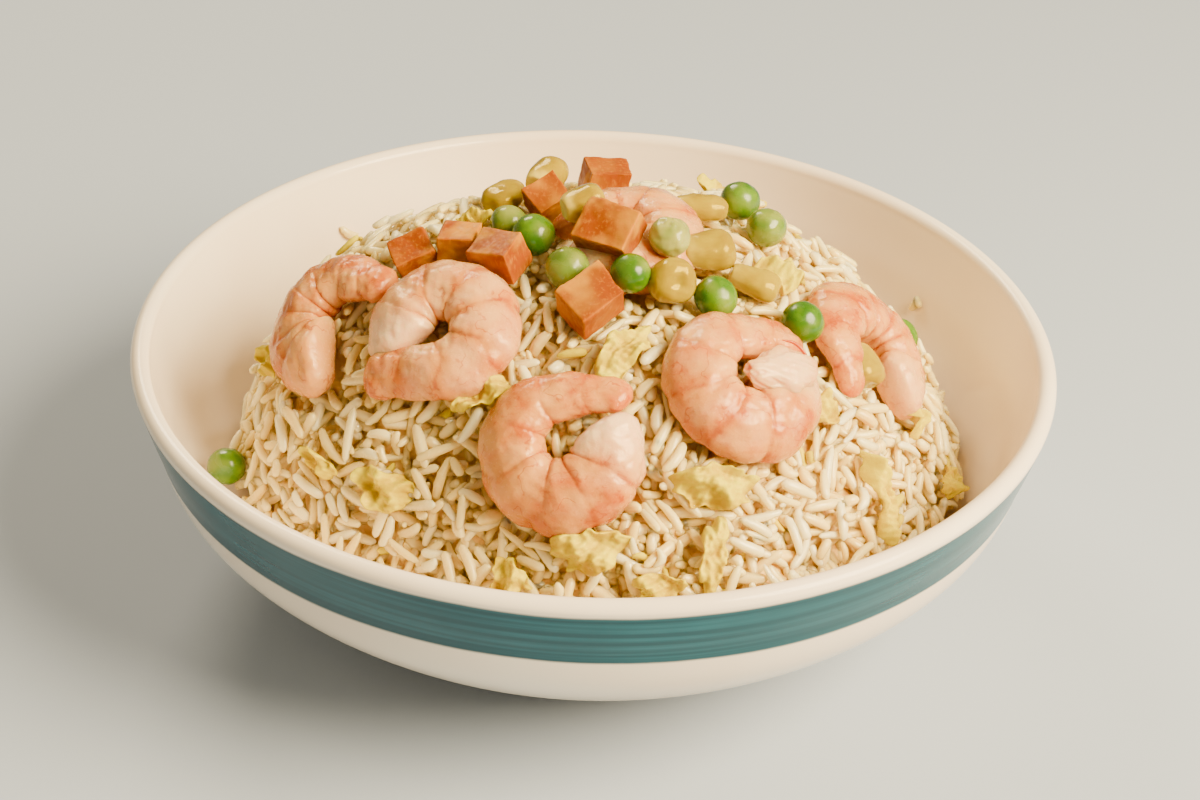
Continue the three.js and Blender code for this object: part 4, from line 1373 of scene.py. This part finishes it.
@dataclass
class GrainShape:
    """The mesh of one grain: a bent, blunt-ended rod of a few dozen faces, copied in one array."""

    sides: int = 6
    stations: tuple = (-0.98, -0.84, -0.34, 0.22, 0.79, 0.975)
    blunt: float = 4.8
    flat: float = 0.84
    shaded: tuple[float, float] = (1.0, 4.4)

    def skin(self, laid: dict[str, np.ndarray], seed: int, label: str = "tone") -> Skin:
        """Carries an oval along each grain's bent middle line.

        Args:
            laid: Middle, axis, upward direction, half length, radius and depth of each grain.
            seed: Number that fixes bends, twists and tones.
            label: Name under which the finish looks up each grain's tone.

        Returns:
            One skin of all the grains, with a tone for each and a share of painted shade that grows with its depth in
            the heap.
        """
        random = np.random.default_rng(seed)
        count = len(laid["half"])
        t = np.array(self.stations)[None, :, None]
        around = (TAU * np.arange(self.sides) / self.sides)[None, None, :]
        half = laid["half"][:, None, None]
        radius = laid["radius"][:, None, None]
        one_end = random.uniform(-0.2, 0.26, (count, 1, 1))
        profile = (1 - np.abs(t) ** self.blunt) ** 0.5 * (1 + one_end * t)
        bend = random.normal(0, 0.5, (count, 1, 1))
        lift = random.normal(0, 0.25, (count, 1, 1))
        twist = around + random.uniform(0, TAU, (count, 1, 1))
        across = np.cross(laid["up"], laid["axis"])
        sideways = radius * profile * np.cos(twist) + bend * (t * t - 0.4)
        upward = self.flat * radius * profile * np.sin(twist) + lift * (t * t - 0.4)
        along = half * t + 0 * twist

        def spread(direction: np.ndarray, amount: np.ndarray) -> np.ndarray:
            """Each grain's direction times the amount at each of its corners."""
            return direction[:, None, None, :] * amount[..., None]

        rings = spread(laid["axis"], along) + spread(across, sideways) + spread(laid["up"], upward)
        rings = rings + laid["centre"][:, None, None, :]
        ends = []
        for sign in (-1, 1):
            side = bend[:, 0, 0] * 0.6
            rise = lift[:, 0, 0] * 0.6
            tip = laid["axis"] * (sign * laid["half"])[:, None] + across * side[:, None] + laid["up"] * rise[:, None]
            ends.append(laid["centre"] + tip)
        points = np.concatenate([ends[0][:, None], rings.reshape(count, -1, 3), ends[1][:, None]], 1)
        quads, triangles = loft_faces(len(self.stations), self.sides)
        size = points.shape[1]
        offset = (np.arange(count) * size)[:, None, None]
        tone = np.repeat(random.random(count), size)
        skin = Skin(points.reshape(-1, 3), (quads + offset).reshape(-1, 4), (triangles + offset).reshape(-1, 3))
        skin.values[label] = tone
        # Painted shade: the share of the gap colour grows with how deep the grain lies in the heap.
        skin.values["deep"] = np.repeat(smoothstep(*self.shaded, laid["depth"]), size)
        return skin


@dataclass
class RiceHeap:
    """The heap: a core below the grains in browns of sauce and painted shade, and real grains piled over it to its
    surface.
    """

    grains: int = 9400
    cells: int = 440
    pieces: int = 4
    core_steps: int = 150
    shreds: float = 0.02
    on_wall: tuple = ((0.577, 45.5, 1.9, 2.1), (0.569, 46.6, 0.5, 1.7), (2.3, 49.0, 0.7, 3.2), (3.9, 50.0, 2.4, 3.4))

    def loose(self, bowl: Bowl, laid: dict[str, np.ndarray]) -> dict[str, np.ndarray]:
        """Adds the few grains that stick to the bowl's bare wall.

        Args:
            bowl: The bowl, whose inner face they lie on.
            laid: The grains of the heap.

        Returns:
            The grains of the heap and those on the wall, each of which is given by its angle
            round the bowl, its height, its turn on the wall and its half length.
        """
        rows: dict[str, list] = {name: [] for name in laid}
        radius = 1.15
        for angle, height, turn, half in self.on_wall:
            out = np.array([math.cos(angle), math.sin(angle), 0])
            aside = np.array([-out[1], out[0], 0])
            climb = out * (bowl.inner_radius(height + 0.5) - bowl.inner_radius(height - 0.5)) + np.array([0, 0, 1])
            climb /= np.linalg.norm(climb)
            inward = np.cross(aside, climb) * np.sign(-np.cross(aside, climb) @ out)
            spot = out * bowl.inner_radius(height) + np.array([0, 0, height])
            axis = math.cos(turn) * aside + math.sin(turn) * climb
            values = (spot + inward * 0.9 * radius, axis, inward, half, radius, 0.0)
            for name, value in zip(("centre", "axis", "up", "half", "radius", "depth"), values):
                rows[name].append(value)
        return {name: np.concatenate([laid[name], np.array(rows[name])]) for name in laid}

    def core(self, bowl: Bowl) -> Skin:
        """The dome below the grains as a net of rings, kept inside the bowl."""
        polar = np.linspace(0.5 * math.pi, 0.008, self.core_steps)[:, None]
        around = TAU * np.arange(2 * self.core_steps)[None] / (2 * self.core_steps)
        ray = np.stack([np.sin(polar) * np.cos(around), np.sin(polar) * np.sin(around), np.cos(polar) + 0 * around], -1)
        points = MOUND.surface(ray)
        across = np.roll(points, -1, 1) - np.roll(points, 1, 1)
        normal = np.cross(across, np.gradient(points, axis=0))
        normal *= np.sign((normal * ray).sum(-1, keepdims=True)) / np.linalg.norm(normal, axis=-1, keepdims=True)
        sunk = GrainPile.floor + MOUND.relief(points) + 0.35 * waves(points, 2.6, 8)
        points = points + normal * sunk[..., None]
        out = np.hypot(points[..., 0], points[..., 1])
        keep = np.minimum(1, (bowl.inner_radius(points[..., 2]) - 0.4) / np.maximum(out, 1e-6))
        points[..., :2] *= keep[..., None]
        base = np.array([MOUND.centre[0], MOUND.centre[1], MOUND.foot])
        return loft(points, base, points[-1].mean(0))

    def build(self, bowl: Bowl, toppings: list[np.ndarray], egg: bpy.types.Material, effects: Effects) -> None:
        """Makes the core, the grains and the shreds of egg among them, in place of the heap.

        Args:
            bowl: The bowl that they stay inside.
            toppings: Corners of every topping's mesh, in millimetres.
            egg: The finish of the shreds.
            effects: The shared node groups.
        """
        within = CoreFinish(glow=0.1, bump=0.6, relief=0.9, grain=420.0, wet=0.4, dry=0.6).make(effects)
        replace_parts(add_piece("rice_within", self.core(bowl), within), "rice")
        pile = GrainPile()
        heap = HeapField(self.cells, pile.floor)
        for points in toppings:
            heap.cover(points)
        laid = self.loose(bowl, pile.drop(heap, bowl, self.grains, 17))
        random = np.random.default_rng(5)
        yellow = random.random(len(laid["half"])) < self.shreds
        finish = RiceFinish(
            glow=0.9, reach=(1.0, 0.9, 0.7), depth=2.6, bump=0.24, wet=0.14, dry=0.34, shine=0.5,
        ).make(effects)
        shape = GrainShape()
        torn = {key: values[yellow] for key, values in laid.items()}
        torn["radius"] = torn["radius"] * random.uniform(0.7, 1.1, yellow.sum())
        torn["half"] = torn["half"] * random.uniform(0.35, 0.8, yellow.sum())
        shreds = shape.skin(torn, 69, "fold")
        # For the shreds the fold value is a random tone in the paler half of the egg's range.
        shreds.values["fold"] = 0.5 + 0.5 * shreds.values["fold"]
        add_piece("egg_shreds", shreds, egg)
        order = np.array_split(np.flatnonzero(~yellow), self.pieces)
        for number, chosen in enumerate(order, 1):
            part = {key: values[chosen] for key, values in laid.items()}
            add_piece(f"rice_grains_{number}", shape.skin(part, 70 + number), finish)


# ------------------------------------------------------------------ the dish


@dataclass
class Dish:
    """Everything in the bowl: toppings first, then the rice piled round them."""

    bowl: Bowl = field(default_factory=Bowl)
    laid: list[np.ndarray] = field(default_factory=list)
    egg_clear: float = 0.64

    def set_down(self, name: str, node: str, skin: Skin, material: bpy.types.Material, slot: str) -> None:
        """Adds one topping in place of its solid, and keeps its corners for the rice.

        Rice may bury the edge of a flake of egg, so only the inner share of it is kept clear.
        """
        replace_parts(add_piece(name, skin, material), node)
        middle = skin.points.mean(0)
        self.laid.append(middle + (skin.points - middle) * (self.egg_clear if slot == "egg" else 1))

    def lay(
        self, kind: str, slot: str, items: tuple, seed: int, material: bpy.types.Material
    ) -> None:
        """Sets down every topping of one kind on its perch.

        Args:
            kind: Name of the pieces, less their number.
            slot: Their material slot, which is also the name of their solids less the number.
            items: The toppings.
            seed: Number that each topping's own number is added to.
            material: Their finish.
        """
        for number, item in enumerate(items, 1):
            skin = item.skin(seed + number)
            skin.points = item.perch.settle(skin.points)
            self.set_down(f"{kind}_{number}", f"{slot}_{number}", skin, material, slot)

    def lay_toppings(self, effects: Effects) -> bpy.types.Material:
        """Makes every shrimp, pea, carrot dice, kernel and flake of egg.

        Args:
            effects: The shared node groups.

        Returns:
            The finish of the egg, which the shreds among the rice share.
        """
        flesh = ShrimpFinish(
            glow=0.7, reach=(1.0, 0.5, 0.25), depth=3.8, bump=0.5, relief=0.2, grain=1300.0, wet=0.12, dry=0.32,
            coat=0.06, shine=0.45, gloss=(255, 228, 200),
        ).make(effects)
        for number, shrimp in enumerate(SHRIMPS, 1):
            skin = shrimp.skin(100 + number)
            self.set_down(f"curled_shrimp_{number}", f"shrimp_{number}", skin, flesh, "shrimp")
        for number, lobe in enumerate(LOBES, 1):
            skin = lobe.skin(150 + number)
            skin.points = lobe.perch.settle(skin.points)
            add_piece(f"shrimp_lobe_{number}", skin, flesh)
        for number, vein in enumerate(VEINS, 1):
            add_piece(f"shrimp_vein_{number}", vein.skin(), flesh)
        green = PeaFinish(
            glow=0.25, reach=(0.5, 1.0, 0.2), depth=1.5, bump=0.16, grain=420.0, wet=0.16, dry=0.36, coat=0.1,
        ).make(effects)
        self.lay("green_pea", "pea", PEAS, 200, green)
        place, radius = WALL_PEA
        skin = Pea(Perch(0, 0, 0), radius).skin(220)
        skin.points = skin.points + np.array(place)
        self.set_down(f"green_pea_{len(PEAS) + 1}", f"pea_{len(PEAS) + 1}", skin, green, "pea")
        orange = CarrotFinish(
            glow=0.3, reach=(1.0, 0.4, 0.1), depth=1.8, bump=0.3, relief=0.18, grain=1100.0, wet=0.3, dry=0.5,
            shine=0.15, gloss=(255, 180, 60),
        ).make(effects)
        self.lay("carrot_dice", "carrot", CARROTS, 300, orange)
        yellow = CornFinish(
            glow=0.5, reach=(1.0, 0.6, 0.1), depth=2.2, bump=0.06, grain=400.0, wet=0.12, dry=0.22, shine=0.5,
            gloss=(255, 226, 60),
        ).make(effects)
        self.lay("corn_kernel", "corn", KERNELS, 400, yellow)
        curd = EggFinish(
            glow=0.3, reach=(1.0, 0.7, 0.2), depth=1.4, bump=0.5, relief=0.35, grain=850.0, wet=0.26, dry=0.5,
            shine=0.3, gloss=(255, 226, 60),
        ).make(effects)
        self.lay("egg_flake", "egg", FLAKES, 500, curd)
        return curd

    def build(self) -> None:
        """Makes the bowl, its toppings and its rice."""
        effects = Effects(mottle_group(), moist_group())
        self.bowl.build(effects)
        egg = self.lay_toppings(effects)
        RiceHeap().build(self.bowl, self.laid, egg, effects)


# ------------------------------------------------------------------ studio


@dataclass(frozen=True)
class Studio:
    """Floor, lights and camera. The camera is placed by where the rim's centre falls in it."""

    floor_colour: Colour = (168, 181, 203)
    elevation: float = 30.8
    distance: float = 624.0
    roll: float = -2.2
    focal_pixels: float = 2600.0
    rim_pixel: tuple[float, float] = (595.0, 339.5)
    image: tuple[int, int] = (1200, 800)

    def floor(self) -> None:
        """A wide pale floor."""
        mesh = bpy.data.meshes.new("floor")
        reach = 3.0
        corners = [(-reach, -reach, 0), (reach, -reach, 0), (reach, reach, 0), (-reach, reach, 0)]
        mesh.from_pydata(corners, [], [(0, 1, 2, 3)])
        material = bpy.data.materials.new("pale_floor")
        material.use_nodes = True
        shader = material.node_tree.nodes["Principled BSDF"]
        shader.inputs["Base Color"].default_value = linear(*self.floor_colour)
        shader.inputs["Roughness"].default_value = 0.7
        mesh.materials.append(material)
        floor = bpy.data.objects.new("floor", mesh)
        bpy.context.scene.collection.objects.link(floor)

    def lamp(self, name: str, place: Colour, size: float, power: float, colour: Colour) -> None:
        """A round soft light that faces the dish."""
        data = bpy.data.lights.new(name, "AREA")
        data.shape = "DISK"
        data.size = size
        data.energy = power
        data.color = colour
        lamp = bpy.data.objects.new(name, data)
        lamp.location = place
        lamp.rotation_mode = "QUATERNION"
        lamp.rotation_quaternion = (Vector(place) - Vector((0, 0, 0.06))).to_track_quat("Z", "Y")
        bpy.context.scene.collection.objects.link(lamp)

    def lights(self) -> None:
        """A warm key from the front right, a weak light from behind and light from all round."""
        self.lamp("key", (0.7, -0.4, 0.72), 0.7, 56.0, (1.0, 0.79, 0.46))
        self.lamp("back", (-0.35, 0.75, 0.75), 0.4, 9.0, (1.0, 0.8, 0.5))
        world = bpy.data.worlds.new("studio")
        world.use_nodes = True
        back = world.node_tree.nodes["Background"]
        back.inputs["Color"].default_value = (1.0, 0.83, 0.54, 1.0)
        back.inputs["Strength"].default_value = 0.38
        bpy.context.scene.world = world

    def camera(self) -> None:
        """Looks from the front, turned so that the rim's centre falls on its pixel."""
        tilt = math.radians(self.elevation)
        ray = np.array([0, -math.cos(tilt), math.sin(tilt)])
        forward, right = -ray, np.array([1.0, 0, 0])
        axes = np.array([right, np.cross(right, forward), forward])
        du = (self.rim_pixel[0] - self.image[0] / 2) / self.focal_pixels
        dv = (self.image[1] / 2 - self.rim_pixel[1]) / self.focal_pixels
        aside = Vector((0, 0, 1)).rotation_difference(Vector((du, dv, 1))).to_matrix()
        roll = Matrix.Rotation(math.radians(self.roll), 3, "Z")
        axes = np.array(aside @ roll) @ axes
        data = bpy.data.cameras.new("camera")
        data.sensor_width = 36.0
        data.lens = self.focal_pixels / self.image[0] * data.sensor_width
        data.clip_start, data.clip_end = 0.01, 20.0
        camera = bpy.data.objects.new("camera", data)
        pose = Matrix(np.stack([axes[0], axes[1], -axes[2]], 1).tolist()).to_4x4()
        pose.translation = Vector(ray * self.distance * MM) + Vector((0, 0, Bowl.rim_plane * MM))
        camera.matrix_world = pose
        bpy.context.scene.collection.objects.link(camera)
        bpy.context.scene.camera = camera

    def build(self) -> None:
        """Makes the floor, the lights and the camera."""
        self.floor()
        self.lights()
        self.camera()


def main() -> None:
    """Builds the studio and the dish."""
    logging.basicConfig(level=logging.INFO, format="%(name)s: %(message)s")
    Studio().build()
    Dish().build()


if __name__ == "__main__":
    main()
